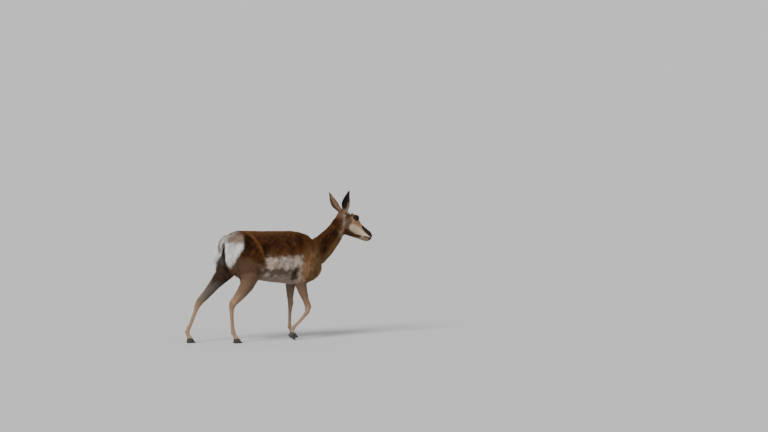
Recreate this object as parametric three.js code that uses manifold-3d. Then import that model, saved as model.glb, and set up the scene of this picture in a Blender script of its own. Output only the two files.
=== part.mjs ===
// A life-size pronghorn doe, standing still in the middle of a walking step.
// Millimetres. +X is forward, +Y is the animal's left, +Z is up, and the floor is Z = 0.
// Forward places below count from the middle of the trunk, and the whole is then set back so
// that its origin is on the floor under the middle of its length.
// Every outline is the outline of the coat, out to the tips of the hair.

import * as THREE from "three";
import { mergeVertices } from "three/addons/utils/BufferGeometryUtils.js";
import Module from "manifold-3d";

const wasm = await Module();
wasm.setup();

// Driving dimensions of the standing animal
const WITHERS_HEIGHT = 828; // top of the shoulders above the floor
const CROUP_HEIGHT = 846; // top of the hips, a little higher than the shoulders
const SADDLE_HEIGHT = 834; // the back over the last ribs
const BELLY_HEIGHT = 438; // underside at the middle of the trunk
const BRISKET_HEIGHT = 412; // lowest line of the chest, between the forelegs
const CHEST_FRONT = 430; // the breast, ahead of the middle of the trunk
const RUMP_REAR = -352; // where the trunk starts to round off behind
const RIB_HALF_WIDTH = 130; // half the width at the last ribs
const SET_BACK = 106; // from the middle of the trunk to the middle of the whole length
const FORE_TRACK = 76; // sideways distance of a foreleg from the middle
const HIND_TRACK = 89; // sideways distance of a hind leg from the middle

// The head, in its own upright plane: forward of the head's pivot, and height above the floor
const HEAD_PIVOT = 600; // forward place that the head turns about
const HEAD_YAW = THREE.MathUtils.degToRad(-8); // the head looks a little to the right
const HEAD_REACH = 256; // pivot to the front of the lips
const EYE_RADIUS = 22;
const EYE_PLACE = { along: 127, aside: 41.5, height: 906 };
const EAR_ROOT = { along: 38, aside: 48, height: 948 };
const EAR_HALF_WIDTH = 33;
const EAR_CUP_DEPTH = 25;
const EAR_WALL = 7; // cartilage with the short hair on both faces
const EAR_RIM = 5; // the blunt edge of the leaf
const EAR_BOW = 9; // how far the middle of the ear bends back from the line of root and tip

// The feet
const HOOF_TOE = 37; // forward from the middle of the sole to the tip
const HOOF_HEEL = 31; // back from the middle of the sole
const CLAW_HALF_WIDTH = 11.5;
const CLEFT = 3; // gap between the two claws of a foot
const CORONET_HEIGHT = 38; // where the hair ends over the hoof
const TIPTOE_PITCH = THREE.MathUtils.degToRad(40); // right fore foot, about to leave the floor

// Making
const GAP = 0.3; // thin cut between neighbouring pieces
const REACH = 3000; // size of a cutting block, well past the whole animal
const DOME_ROWS = 2; // rings in the rounded end of a body, 1 where the end is flat
const MERGE_DISTANCE = 1e-3;

const COATS = {
  body: { color: 0x6b452a, roughness: 0.9 },
  pale: { color: 0xb9a48c, roughness: 0.9 },
  white: { color: 0xd8d2c8, roughness: 0.9 },
  leg: { color: 0x8a6a50, roughness: 0.9 },
  horn: { color: 0x2a211b, roughness: 0.5 },
  eye: { color: 0x0c0806, roughness: 0.08 },
};

// Closed bodies

function point(x, y, z) {
  return new THREE.Vector3(x, y, z);
}

// One ring station of a body: its centre, and its half sizes to the side, ahead and behind.
// On a level body such as the trunk, ahead is up and behind is down.
function station(x, y, z, wide, ahead, behind) {
  return { centre: point(x, y, z), size: point(wide, ahead, behind) };
}

// A rounded power curve: 2 gives an ellipse, more gives a fuller, squarer section.
function rounded(value, power) {
  return Math.sign(value) * Math.pow(Math.abs(value), 2 / power);
}

// Where each ring of a body stands: places along the stations, and the fraction of full size.
// The rounded ends reach past the first and last stations by their dome lengths.
function ringPlan(stationCount, between, domes) {
  const dome = (t, length) => {
    const rows = Math.abs(length) > 0 ? DOME_ROWS : 1;
    const turns = Array.from({ length: rows }, (_, row) => (row / rows) * (Math.PI / 2));
    return turns.map((turn) => ({ t, shift: length * Math.cos(turn), full: Math.sin(turn) }));
  };
  const steps = (stationCount - 1) * between;
  const middle = Array.from({ length: steps + 1 }, (_, step) => ({ t: step / steps, shift: 0, full: 1 }));
  return [...dome(0, -domes[0]), ...middle, ...dome(1, domes[1]).reverse()];
}

// A sphere whose rings are carried along smooth curves through the stations.
// grow adds a margin all round, upright keeps every ring square to the X axis.
function stretchedBody(stations, options = {}) {
  const { sides = 16, between = 2, domes = [10, 10], grow = 0, upright = false } = options;
  const { fullAhead = 2, fullBehind = 2 } = options;
  const spine = new THREE.CatmullRomCurve3(stations.map((s) => s.centre), false, "catmullrom", 0.5);
  const sizes = new THREE.CatmullRomCurve3(stations.map((s) => s.size), false, "catmullrom", 0.5);
  const plan = ringPlan(stations.length, between, domes.map((dome) => dome + grow));
  const body = new THREE.SphereGeometry(1, sides, plan.length - 1);
  const places = body.getAttribute("position");
  plan.forEach((ring, row) => {
    const centre = spine.getPoint(ring.t);
    const size = sizes.getPoint(ring.t).addScalar(grow);
    const along = upright ? point(1, 0, 0) : spine.getTangent(ring.t);
    const side = point(0, 1, 0).addScaledVector(along, -along.y).normalize();
    const ahead = new THREE.Vector3().crossVectors(along, side);
    for (let column = 0; column <= sides; column += 1) {
      const turn = (column / sides) * 2 * Math.PI;
      const isAhead = Math.cos(turn) > 0;
      const power = isAhead ? fullAhead : fullBehind;
      const reach = (isAhead ? size.y : size.z) * rounded(Math.cos(turn), power);
      const spread = size.x * rounded(Math.sin(turn), power);
      const place = centre.clone().addScaledVector(along, ring.shift);
      place.addScaledVector(ahead, reach * ring.full).addScaledVector(side, spread * ring.full);
      places.setXYZ(row * (sides + 1) + column, place.x, place.y, place.z);
    }
  });
  return body;
}

// Joining and cutting

function solidOf(geometry) {
  const bare = geometry.clone();
  bare.deleteAttribute("normal");
  bare.deleteAttribute("uv");
  const merged = mergeVertices(bare, MERGE_DISTANCE);
  const vertProperties = new Float32Array(merged.getAttribute("position").array);
  const triVerts = new Uint32Array(dropThinTriangles(merged.getIndex().array));
  return new wasm.Manifold(new wasm.Mesh({ numProp: 3, vertProperties, triVerts }));
}

// A pole of a sphere leaves triangles with two equal corners once its points are merged.
function dropThinTriangles(corners) {
  const kept = [];
  for (let first = 0; first < corners.length; first += 3) {
    const [a, b, c] = [corners[first], corners[first + 1], corners[first + 2]];
    if (a !== b && b !== c && c !== a) {
      kept.push(a, b, c);
    }
  }
  return kept;
}

function geometryOf(solid) {
  const mesh = solid.getMesh();
  const corners = new Float32Array(mesh.triVerts.length * 3);
  mesh.triVerts.forEach((vertex, corner) => {
    for (let axis = 0; axis < 3; axis += 1) {
      corners[corner * 3 + axis] = mesh.vertProperties[vertex * mesh.numProp + axis];
    }
  });
  const geometry = new THREE.BufferGeometry();
  geometry.setAttribute("position", new THREE.BufferAttribute(corners, 3));
  geometry.computeVertexNormals();
  return geometry;
}

function joined(solids) {
  return solids.reduce((whole, solid) => whole.add(solid));
}

// All that lies behind a plane, as one great block. The plane passes through a point and its
// outward direction leads away from the block.
function behindPlane(through, outward, grow = 0) {
  const block = new THREE.BoxGeometry(REACH, REACH, REACH);
  block.translate(0, 0, -REACH / 2 + grow);
  const turn = new THREE.Quaternion().setFromUnitVectors(point(0, 0, 1), outward.clone().normalize());
  block.applyQuaternion(turn);
  block.translate(through.x, through.y, through.z);
  return solidOf(block);
}

// A region bounded by planes, each given as [point, outward direction].
function region(planes, grow = 0) {
  const blocks = planes.map(([through, outward]) => behindPlane(through, outward, grow));
  return blocks.reduce((whole, block) => whole.intersect(block));
}

// The head's own plane, turned a little to the right about its pivot
const headPlace = new THREE.Matrix4()
  .makeTranslation(HEAD_PIVOT, 0, 0)
  .multiply(new THREE.Matrix4().makeRotationZ(HEAD_YAW));

function onHead(geometry) {
  return geometry.applyMatrix4(headPlace);
}

// Trunk and neck

function trunkSolid() {
  const level = (x, top, middle, bottom, wide) => station(x, 0, middle, wide, top - middle, middle - bottom);
  const stations = [
    level(RUMP_REAR, 806, 690, 560, 70),
    level(-300, CROUP_HEIGHT - 6, 688, 512, 98),
    level(-235, CROUP_HEIGHT, 670, 492, 110),
    level(-150, CROUP_HEIGHT - 3, 645, 474, 118),
    level(-60, SADDLE_HEIGHT + 3, 628, 454, 125),
    level(30, SADDLE_HEIGHT, 618, BELLY_HEIGHT, RIB_HALF_WIDTH),
    level(120, SADDLE_HEIGHT - 3, 610, 426, 127),
    level(200, WITHERS_HEIGHT, 608, BRISKET_HEIGHT + 4, 112),
    level(270, WITHERS_HEIGHT - 13, 612, BRISKET_HEIGHT, 98),
    level(335, WITHERS_HEIGHT - 38, 616, BRISKET_HEIGHT + 8, 88),
    level(392, 748, 610, BRISKET_HEIGHT + 32, 74),
    level(CHEST_FRONT, 690, 602, 474, 56),
  ];
  return solidOf(
    stretchedBody(stations, { sides: 20, between: 1, domes: [26, 26], upright: true, fullBehind: 2.15 }),
  );
}

function neckSolid() {
  const stations = [
    station(352, 0, 628, 78, 120, 120),
    station(425, 0, 664, 68, 104, 104),
    station(483, 0, 706, 58, 94, 93),
    station(518, -1, 741, 52, 88, 86),
    station(555, -2, 782, 48, 77, 79),
    station(590, -3, 828, 46, 69, 74),
    station(614, -4, 872, 45, 62, 68),
    station(634, -5, 908, 42, 50, 60),
  ];
  return solidOf(stretchedBody(stations, { sides: 16, between: 1, domes: [30, 24] }));
}

function tailSolid() {
  const stations = [
    station(-346, 0, 806, 24, 14, 14),
    station(-384, 0, 776, 26, 15, 13),
    station(-402, 0, 738, 24, 14, 12),
    station(-404, 0, 706, 16, 11, 9),
  ];
  return solidOf(stretchedBody(stations, { sides: 10, domes: [14, 18] }));
}

// Head

function skullGeometry(grow) {
  const level = (along, height, wide, up, down) => station(along, 0, height, wide, up, down);
  const stations = [
    level(-6, 900, 43, 60, 60),
    level(22, 884, 49, 76, 78),
    level(60, 863, 55, 71, 89),
    level(94, 845, 56, 68, 80),
    level(125, 828, 47, 59, 74),
    level(156, 812, 37, 51, 67),
    level(190, 793, 32, 43, 60),
    level(222, 775, 30, 37, 54),
    level(244, 763, 29, 32, 46),
    level(HEAD_REACH, 757, 25, 22, 33),
  ];
  return stretchedBody(stations, { sides: 16, domes: [22, 11], grow, fullAhead: 2.8, fullBehind: 2.3 });
}

// The broad flat forehead that carries the eyes.
function browGeometry(grow) {
  const level = (along, height, wide, up, down) => station(along, 0, height, wide, up, down);
  const stations = [
    level(38, 910, 46, 38, 50),
    level(78, 895, 56, 37, 52),
    level(108, 882, 58, 41, 46),
    level(132, 868, 51, 40, 42),
    level(154, 852, 40, 29, 40),
    level(178, 834, 32, 14, 36),
    level(204, 812, 26, 4, 32),
  ];
  return stretchedBody(stations, { sides: 14, between: 1, domes: [14, 10], grow, fullAhead: 2.8 });
}

// The raised rim round each eye and the root of each ear.
function faceSwellings(aside, grow) {
  const earRoot = stretchedBody(
    [station(14, aside * 24, 890, 34, 38, 38), station(38, aside * 46, 946, 20, 21, 21)],
    { sides: 10, between: 1, domes: [8, 8], grow },
  );
  const socket = stretchedBody(
    [
      station(86, aside * 36, 893, 21, 27, 30),
      station(112, aside * 36.5, 899, 25, 30.5, 33),
      station(130, aside * 36.5, 900, 24, 28.5, 32),
      station(142, aside * 34, 896, 20, 24, 29),
    ],
    { sides: 12, between: 1, domes: [16, 11], grow, upright: true },
  );
  return [socket, earRoot];
}

function headSolid(grow = 0) {
  const pieces = [skullGeometry(grow), browGeometry(grow)];
  pieces.push(...faceSwellings(1, grow), ...faceSwellings(-1, grow));
  return joined(pieces.map((piece) => solidOf(onHead(piece))));
}

function eyeGeometry(aside, grow = 0) {
  const ball = new THREE.SphereGeometry(EYE_RADIUS + grow, 16, 10);
  ball.translate(EYE_PLACE.along, aside * EYE_PLACE.aside, EYE_PLACE.height);
  return onHead(ball);
}

// A short horn bud over the eye, as a doe carries.
function hornSolid(aside) {
  const stations = [
    station(92, aside * 32, 916, 9, 10, 10),
    station(95, aside * 34, 930, 8, 9, 9),
    station(98, aside * 36, 941, 5, 6, 6),
  ];
  return solidOf(onHead(stretchedBody(stations, { sides: 8, between: 1, domes: [4, 5] })));
}

// Round a ring of the ear: down its back from rim to rim, then up the inside of the cup.
// Gives how far across and how far back a column lies, where open is 0 for an oval ring.
function earSection(column, half, size, wall, open) {
  const isBack = column <= half;
  const ovalTurn = ((isBack ? column : 2 * half - column) / half) * Math.PI;
  if (isBack) {
    return [Math.cos(ovalTurn) * size.y, Math.sin(ovalTurn) * size.z];
  }
  const cupTurn = ((2 * half - 1 - column) / (half - 2)) * Math.PI;
  const rim = Math.min(EAR_RIM, 0.45 * size.y);
  const across = THREE.MathUtils.lerp(
    Math.cos(ovalTurn) * size.y, Math.cos(cupTurn) * (size.y - rim), open);
  const back = THREE.MathUtils.lerp(
    -Math.sin(ovalTurn) * size.z, Math.sin(cupTurn) * (size.z - wall) - 0.3 * rim, open);
  return [across, back];
}

// An ear is a cupped leaf. Its rings are a full oval at the root and open into a crescent.
function earGeometry(aside, tip) {
  const root = point(EAR_ROOT.along, aside * EAR_ROOT.aside, EAR_ROOT.height);
  const along = tip.clone().sub(root);
  const length = along.length();
  along.normalize();
  const back = point(0.42, -aside, 0);
  back.addScaledVector(along, -along.dot(back)).normalize();
  const across = new THREE.Vector3().crossVectors(along, back);
  const widths = new THREE.CatmullRomCurve3([
    point(0, 20, 19), point(0.2, 26, 22), point(0.4, EAR_HALF_WIDTH, EAR_CUP_DEPTH),
    point(0.62, 27, 21), point(0.84, 16, 13), point(1, 4, 4),
  ]);
  const rows = 12;
  const half = 7;
  const leaf = new THREE.SphereGeometry(1, 2 * half, rows);
  const places = leaf.getAttribute("position");
  for (let row = 0; row <= rows; row += 1) {
    const t = THREE.MathUtils.clamp((row - 1) / (rows - 2), 0, 1);
    const isPole = row === 0 || row === rows;
    const size = widths.getPoint(t);
    const open = THREE.MathUtils.smoothstep(t, 0.04, 0.24);
    const wall = Math.min(EAR_WALL * (1 - 0.45 * t), 0.9 * size.z);
    const centre = root.clone().addScaledVector(along, length * t);
    centre.addScaledVector(back, -0.45 * size.z * open);
    centre.x -= EAR_BOW * Math.sin(Math.PI * t);
    for (let column = 0; column <= 2 * half; column += 1) {
      const [spread, depth] = isPole ? [0, 0] : earSection(column % (2 * half), half, size, wall, open);
      const place = centre.clone().addScaledVector(across, spread).addScaledVector(back, depth);
      places.setXYZ(row * (2 * half + 1) + column, place.x, place.y, place.z);
    }
  }
  return onHead(leaf);
}

// Legs, each one body from the top of the shoulder or haunch down to the coronet

// Shoulder and upper arm, the same on both sides. The rest of the foreleg follows the step.
function forelegStations(aside, lower) {
  const y = aside * FORE_TRACK;
  const upper = [
    station(222, aside * 44, 758, 32, 46, 50),
    station(262, aside * 64, 690, 38, 66, 72),
    station(298, aside * 71, 612, 38, 76, 84),
    station(286, aside * 74, 540, 39, 74, 82),
  ];
  return [...upper, ...lower.map(([x, z, wide, ahead, behind]) => station(x, y, z, wide, ahead, behind))];
}

function hindlegStations(aside, thigh, lower) {
  const y = aside * HIND_TRACK;
  const upper = thigh.map(([x, z, inset, wide, ahead, behind]) =>
    station(x, aside * (HIND_TRACK - inset), z, wide, ahead, behind));
  return [...upper, ...lower.map(([x, z, wide, ahead, behind]) => station(x, y, z, wide, ahead, behind))];
}

// Left fore: upright, carrying the chest. Each row is forward place, height and half sizes.
const leftFore = forelegStations(1, [
  [250, 478, 38, 60, 58],
  [230, 428, 33, 45, 43],
  [226, 368, 27, 34, 33],
  [226, 308, 22, 26, 25],
  [229, 266, 22, 25, 22],
  [226, 230, 17, 18, 17],
  [223, 180, 12.5, 13, 14],
  [222, 116, 12.5, 13, 14],
  [222, 86, 17, 17, 19],
  [234, 60, 16, 14, 15],
  [247, 36, 21, 21, 19],
]);

// Right fore: knee bent forward, the toe about to leave the floor.
const rightFore = forelegStations(-1, [
  [252, 478, 38, 61, 59],
  [240, 424, 34, 49, 47],
  [258, 366, 28, 37, 36],
  [281, 308, 23, 27, 27],
  [302, 248, 22, 27, 24],
  [295, 210, 18, 21, 19],
  [268, 178, 13, 14, 14],
  [229, 138, 12.5, 12.5, 13.5],
  [194, 109, 13, 13, 14],
  [174, 88, 17, 17, 18],
  [172, 68, 16, 14, 15],
  [180, 46, 20, 20, 18],
]);

// Right hind: under the body, its shank nearly upright.
const rightHind = hindlegStations(
  -1,
  [
    [-288, 776, 41, 34, 78, 88],
    [-266, 690, 19, 48, 108, 134],
    [-238, 612, 11, 50, 134, 140],
    [-206, 548, 5, 47, 122, 116],
    [-205, 484, 1, 42, 84, 74],
  ],
  [
    [-222, 430, 37, 58, 55],
    [-262, 382, 31, 47, 45],
    [-302, 338, 26, 37, 37],
    [-337, 300, 23, 29, 34],
    [-347, 266, 18, 21, 23],
    [-346, 220, 14, 15, 17],
    [-342, 150, 13, 14, 15],
    [-338, 110, 15, 16, 17],
    [-335, 86, 18, 18, 21],
    [-322, 60, 17, 15, 16],
    [-308, 36, 22, 22, 20],
  ],
);

// Left hind: stretched back at the end of its step.
const leftHind = hindlegStations(
  1,
  [
    [-296, 776, 41, 34, 76, 88],
    [-284, 696, 19, 48, 100, 128],
    [-284, 622, 11, 50, 114, 133],
    [-300, 562, 5, 47, 100, 106],
    [-338, 504, 1, 42, 68, 66],
  ],
  [
    [-397, 444, 36, 48, 47],
    [-474, 363, 28, 36, 35],
    [-530, 308, 23, 28, 32],
    [-554, 270, 18, 21, 22],
    [-570, 226, 14, 15, 17],
    [-600, 156, 13, 14, 15],
    [-623, 110, 15, 16, 18],
    [-634, 86, 18, 18, 21],
    [-627, 60, 17, 15, 16],
    [-614, 36, 22, 22, 20],
  ],
);

function legSolid(stations) {
  return solidOf(stretchedBody(stations, { sides: 12, between: 1, domes: [14, 0] }));
}

// One claw, built on the middle of its sole, which lies flat at height 0.
// The wall leans back from a pointed toe, and the section narrows upwards.
function clawGeometry(aside) {
  const y = aside * (CLAW_HALF_WIDTH + CLEFT / 2);
  const stations = [1.25, 0.8, 0.3, 0].map((rise) => {
    const height = rise * CORONET_HEIGHT;
    const toe = HOOF_TOE - height * 0.72;
    const heel = HOOF_HEEL - height * 0.1;
    return station(0, y, height, CLAW_HALF_WIDTH - height * 0.03, toe, heel);
  });
  return stretchedBody(stations, {
    sides: 10, between: 1, domes: [0, 0], fullAhead: 1.55, fullBehind: 2.6,
  });
}

// The feet: place of the middle of the sole, and how far the foot is tipped on its toe
const FEET = {
  fore_left: { x: 256, y: FORE_TRACK, z: 0, pitch: 0 },
  fore_right: { x: 161, y: -FORE_TRACK, z: 21, pitch: TIPTOE_PITCH },
  hind_left: { x: -605, y: HIND_TRACK, z: 0, pitch: 0 },
  hind_right: { x: -299, y: -HIND_TRACK, z: 0, pitch: 0 },
};

function footPlace(foot) {
  return new THREE.Matrix4()
    .makeTranslation(foot.x, foot.y, foot.z)
    .multiply(new THREE.Matrix4().makeRotationY(foot.pitch));
}

// The plane where the hair ends over the hoof. It falls towards the heel.
function coronetPlane(foot) {
  const place = footPlace(foot);
  const through = point(-6, 0, CORONET_HEIGHT - 3).applyMatrix4(place);
  const upward = point(-0.22, 0, 1).transformDirection(place);
  return [through, upward];
}

// Parting the animal into its named pieces

const headPlane = [point(600, 0, 905), point(0.958, -0.05, 0.287)];
const neckPlane = [point(400, 0, 755), point(0.899, 0, 0.438)];

function opposite([through, outward]) {
  return [through, outward.clone().negate()];
}

function shifted([through, outward], distance) {
  return [through.clone().addScaledVector(outward.clone().normalize(), distance), outward];
}

// Where each leg leaves the trunk: a slanting cut, kept to the leg's own stretch of the body.
function legRegion(aside, rear, front, height, track) {
  const slant = point(0, aside * -0.62, 1);
  return [
    [point(0, aside * track, height), slant],
    [point(0, aside * 20, 0), point(0, -aside, 0)],
    [point(rear, 0, 0), point(-1, 0, 0)],
    [point(front.x, 0, front.z), point(front.out, 0, front.rise)],
  ];
}

const LEG_REGIONS = {
  fore_left: legRegion(1, 100, { x: 380, z: 440, out: 1, rise: 0 }, 438, FORE_TRACK),
  fore_right: legRegion(-1, 80, { x: 380, z: 440, out: 1, rise: 0 }, 438, FORE_TRACK),
  hind_left: legRegion(1, -800, { x: -170, z: 520, out: 1, rise: 0 }, 512, HIND_TRACK),
  hind_right: legRegion(-1, -460, { x: -84, z: 520, out: 1, rise: 0 }, 512, HIND_TRACK),
};

// The joints where a leg is parted: the height of the upper cut, and of the one at the fetlock.
const LEG_CUTS = {
  fore_left: { knee: [point(229, 0, 262), point(0, 0, 1)], fetlock: [point(222, 0, 100), point(0, 0, 1)] },
  fore_right: {
    knee: [point(302, 0, 244), point(-0.35, 0, 1)],
    fetlock: [point(184, 0, 103), point(0.66, 0, 0.75)],
  },
  hind_left: {
    knee: [point(-538, 0, 290), point(0.35, 0, 1)],
    fetlock: [point(-627, 0, 100), point(0.4, 0, 0.9)],
  },
  hind_right: {
    knee: [point(-340, 0, 288), point(0.25, 0, 1)],
    fetlock: [point(-337, 0, 100), point(0, 0, 1)],
  },
};

const model = new THREE.Group();
model.position.x = -SET_BACK;

function addPiece(name, geometry, coat) {
  const mesh = new THREE.Mesh(geometry, new THREE.MeshStandardMaterial({ ...coat, metalness: 0 }));
  mesh.name = name;
  model.add(mesh);
}

function addBody() {
  const legs = [leftFore, rightFore, leftHind, rightHind].map(legSolid);
  const eyes = [1, -1].map((aside) => solidOf(eyeGeometry(aside, GAP)));
  const whole = joined([trunkSolid(), neckSolid(), headSolid(), ...legs]);
  const regions = Object.entries(LEG_REGIONS);
  let rest = whole.intersect(behindPlane(...shifted(neckPlane, -GAP)));
  for (const [name, planes] of regions) {
    const [slant, ...sides] = planes;
    const leg = whole.intersect(region([shifted(slant, -GAP), ...sides]));
    rest = rest.subtract(region(planes));
    addLeg(name, leg);
  }
  const head = eyes.reduce((solid, eye) => solid.subtract(eye), whole);
  addPiece("trunk", geometryOf(rest), COATS.body);
  const neck = whole.intersect(region([shifted(headPlane, -GAP), opposite(neckPlane)]));
  addPiece("neck", geometryOf(neck), COATS.body);
  addPiece("head", geometryOf(head.intersect(region([opposite(headPlane)]))), COATS.pale);
}

function addLeg(name, leg) {
  const { knee, fetlock } = LEG_CUTS[name];
  const coronet = coronetPlane(FEET[name]);
  const upper = leg.intersect(region([opposite(knee)]));
  const shank = leg.intersect(region([shifted(knee, -GAP), opposite(fetlock)]));
  const pastern = leg.intersect(region([shifted(fetlock, -GAP), opposite(coronet)]));
  const upperName = name.startsWith("fore") ? "forearm" : "thigh";
  addPiece(`${upperName}_${name}`, geometryOf(upper), COATS.leg);
  addPiece(`cannon_${name}`, geometryOf(shank), COATS.leg);
  addPiece(`pastern_${name}`, geometryOf(pastern), COATS.leg);
  addHooves(name, FEET[name], coronet);
}

function addHooves(name, foot, coronet) {
  const aboveFloor = behindPlane(point(0, 0, 0), point(0, 0, -1));
  const belowCoronet = region([shifted(coronet, -GAP)]);
  for (const [side, claw] of [["outer", Math.sign(foot.y)], ["inner", -Math.sign(foot.y)]]) {
    const raw = solidOf(clawGeometry(claw).applyMatrix4(footPlace(foot)));
    const cut = raw.intersect(belowCoronet).intersect(aboveFloor);
    addPiece(`hoof_${name}_${side}`, geometryOf(cut), COATS.horn);
  }
}

function addHeadPieces() {
  const grownHead = headSolid(GAP);
  const tips = { left: point(-37, 108, 1096), right: point(52, -104, 1124) };
  for (const [side, aside] of [["left", 1], ["right", -1]]) {
    const ear = solidOf(earGeometry(aside, tips[side])).subtract(grownHead);
    addPiece(`ear_${side}`, geometryOf(ear), COATS.pale);
    addPiece(`horn_${side}`, geometryOf(hornSolid(aside).subtract(grownHead)), COATS.horn);
    addPiece(`eye_${side}`, eyeGeometry(aside), COATS.eye);
  }
}

function addTail() {
  const hips = joined([trunkSolid(), legSolid(leftHind), legSolid(rightHind)]);
  addPiece("tail", geometryOf(tailSolid().subtract(hips)), COATS.white);
}

addBody();
addHeadPieces();
addTail();

export default model;
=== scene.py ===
import math
from typing import NamedTuple

import bmesh
import bpy
import numpy as np
from bpy.props import FloatProperty, FloatVectorProperty, IntProperty, PointerProperty
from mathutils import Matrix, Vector
from mathutils.bvhtree import BVHTree


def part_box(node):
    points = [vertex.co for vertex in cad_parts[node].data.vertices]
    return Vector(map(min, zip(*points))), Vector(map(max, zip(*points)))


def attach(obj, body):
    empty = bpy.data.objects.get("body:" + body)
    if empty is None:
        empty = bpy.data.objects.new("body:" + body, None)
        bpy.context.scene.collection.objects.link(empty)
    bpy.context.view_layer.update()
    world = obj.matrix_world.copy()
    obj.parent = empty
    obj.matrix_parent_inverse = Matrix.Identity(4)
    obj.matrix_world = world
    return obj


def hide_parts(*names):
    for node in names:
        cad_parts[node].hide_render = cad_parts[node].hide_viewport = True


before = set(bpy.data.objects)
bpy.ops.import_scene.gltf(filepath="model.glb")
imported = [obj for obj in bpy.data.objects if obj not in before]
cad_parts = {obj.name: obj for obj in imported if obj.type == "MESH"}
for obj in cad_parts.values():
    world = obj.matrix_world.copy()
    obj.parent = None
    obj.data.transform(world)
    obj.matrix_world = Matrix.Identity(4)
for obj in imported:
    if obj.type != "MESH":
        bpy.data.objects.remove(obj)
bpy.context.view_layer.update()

# A pronghorn doe, life size, in the middle of a slow step. Metres. X is forward, Y is the
# animal's left and Z is up, with the floor at 0. The solids reach out to the tips of the coat,
# so the skin lies inside them by the depth of the coat, and the tufts fill the space between.

bl_info = {
    "name": "Pronghorn Doe",
    "version": (1, 0, 0),
    "blender": (4, 5, 0),
    "location": "3D View > Sidebar > Pronghorn",
    "description": "Skin, coat, eyes, hooves and horn buds of a life-size pronghorn",
    "category": "Object",
}

BODY = "root"
SIDES = {"left": 1, "right": -1}

# The head turns about an upright line through the top of the neck, a little to the right.
HEAD_PIVOT = np.array([0.494, 0.0, 0.0])
HEAD_YAW = math.radians(-8)

# Joints of each leg from the top down: forward place and height. All of a leg's joints lie at
# its track, the sideways distance from the middle.
FORE_TRACK = 0.076
HIND_TRACK = 0.089
LEG_JOINTS = {
    "fore_left": [(0.185, 0.640), (0.130, 0.460), (0.123, 0.266), (0.116, 0.088), (0.150, 0.0)],
    "fore_right": [(0.185, 0.640), (0.137, 0.460), (0.196, 0.248), (0.068, 0.088), (0.074, 0.02)],
    "hind_left": [(-0.360, 0.740), (-0.395, 0.560), (-0.640, 0.305), (-0.740, 0.088), (-0.712, 0.0)],
    "hind_right": [(-0.360, 0.740), (-0.300, 0.530), (-0.446, 0.300), (-0.441, 0.088), (-0.405, 0.0)],
}

# Ears on the head's own plane: along, aside and height of their roots and tips
EAR_ROOT = (0.038, 0.048, 0.948)
EAR_TIPS = {"left": (-0.037, 0.108, 1.096), "right": (0.052, -0.104, 1.124)}


class Region(NamedTuple):
    """A part of the body, made of the nodes whose names start with one of its words."""

    words: tuple
    # How strongly its skin is rounded, how much its creases are filled and how much of its small faces stays
    rounding: float
    fill: float
    kept: float
    # How far the tips of its coat stand out from the skin, and how short and flat the hair is, from 0 to 1
    depth: float
    short: float
    # Length and width of its tufts, as parts of those on the side of the body, and the space between roots
    length: float
    width: float
    spacing: float


REGIONS = {
    "trunk": Region(("trunk",), 1.0, 0.6, 0.28, 0.009, 0.0, 1.0, 1.0, 0.0042),
    "neck": Region(("neck",), 0.8, 0.9, 0.30, 0.008, 0.0, 0.85, 0.92, 0.0039),
    "head": Region(("head", "eye"), 0.16, 0.75, 0.75, 0.0026, 1.0, 0.25, 0.44, 0.0027),
    "ear": Region(("ear",), 0.07, 0.0, 0.55, 0.0018, 1.0, 0.25, 0.44, 0.0030),
    "tail": Region(("tail",), 0.4, 0.4, 0.3, 0.005, 0.0, 1.0, 0.9, 0.0040),
    "upper_leg": Region(("forearm", "thigh"), 0.6, 0.6, 0.28, 0.0065, 0.2, 0.68, 0.90, 0.0042),
    "lower_leg": Region(("cannon", "pastern"), 0.14, 0.3, 0.40, 0.0022, 0.7, 0.30, 0.50, 0.0031),
}
REGION_NAMES = list(REGIONS)

# Forward places that part the fore legs from the hind legs and the rump from the sides, and two beyond
# both ends of the animal
LEG_SPLIT = -0.05
RUMP_SPLIT = -0.35
FRONT_END = 1.0
BACK_END = -1.0


# Settings


def distance_setting(name, description, value):
    return FloatProperty(name=name, description=description, default=value, subtype="DISTANCE")


def angle_setting(name, description, value):
    return FloatProperty(name=name, description=description, default=value, subtype="ANGLE")


def number_setting(name, description, value):
    return FloatProperty(name=name, description=description, default=value, min=0)


def count_setting(name, description, value, least=0):
    return IntProperty(name=name, description=description, default=value, min=least)


def colour_setting(name, description, value):
    return FloatVectorProperty(name=name, description=description, default=value, subtype="COLOR")


class SkinSettings(bpy.types.PropertyGroup):
    voxel: distance_setting("Voxel", "Size of the cells that join the solids", 0.0028)
    rounding: count_setting("Rounding", "Rounds that smooth the facets away", 60, 1)
    triangles: count_setting("Triangles", "Most triangles in the finished skin", 188000, 1)


class EyeSettings(bpy.types.PropertyGroup):
    opening_width: distance_setting("Opening width", "From one corner of the eye to the other", 0.034)
    opening_height: distance_setting("Opening height", "Between the open lids", 0.026)
    lid_thickness: distance_setting("Lid thickness", "How far a lid stands proud of the ball", 0.0014)
    socket_rise: distance_setting("Socket rise", "How far the socket's rim stands above the lids", 0.0012)
    clearance: distance_setting("Clearance", "Between the ball and the lids", 0.0003)
    iris: colour_setting("Iris", "Colour of the iris", (0.0055, 0.0026, 0.0016))


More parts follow.
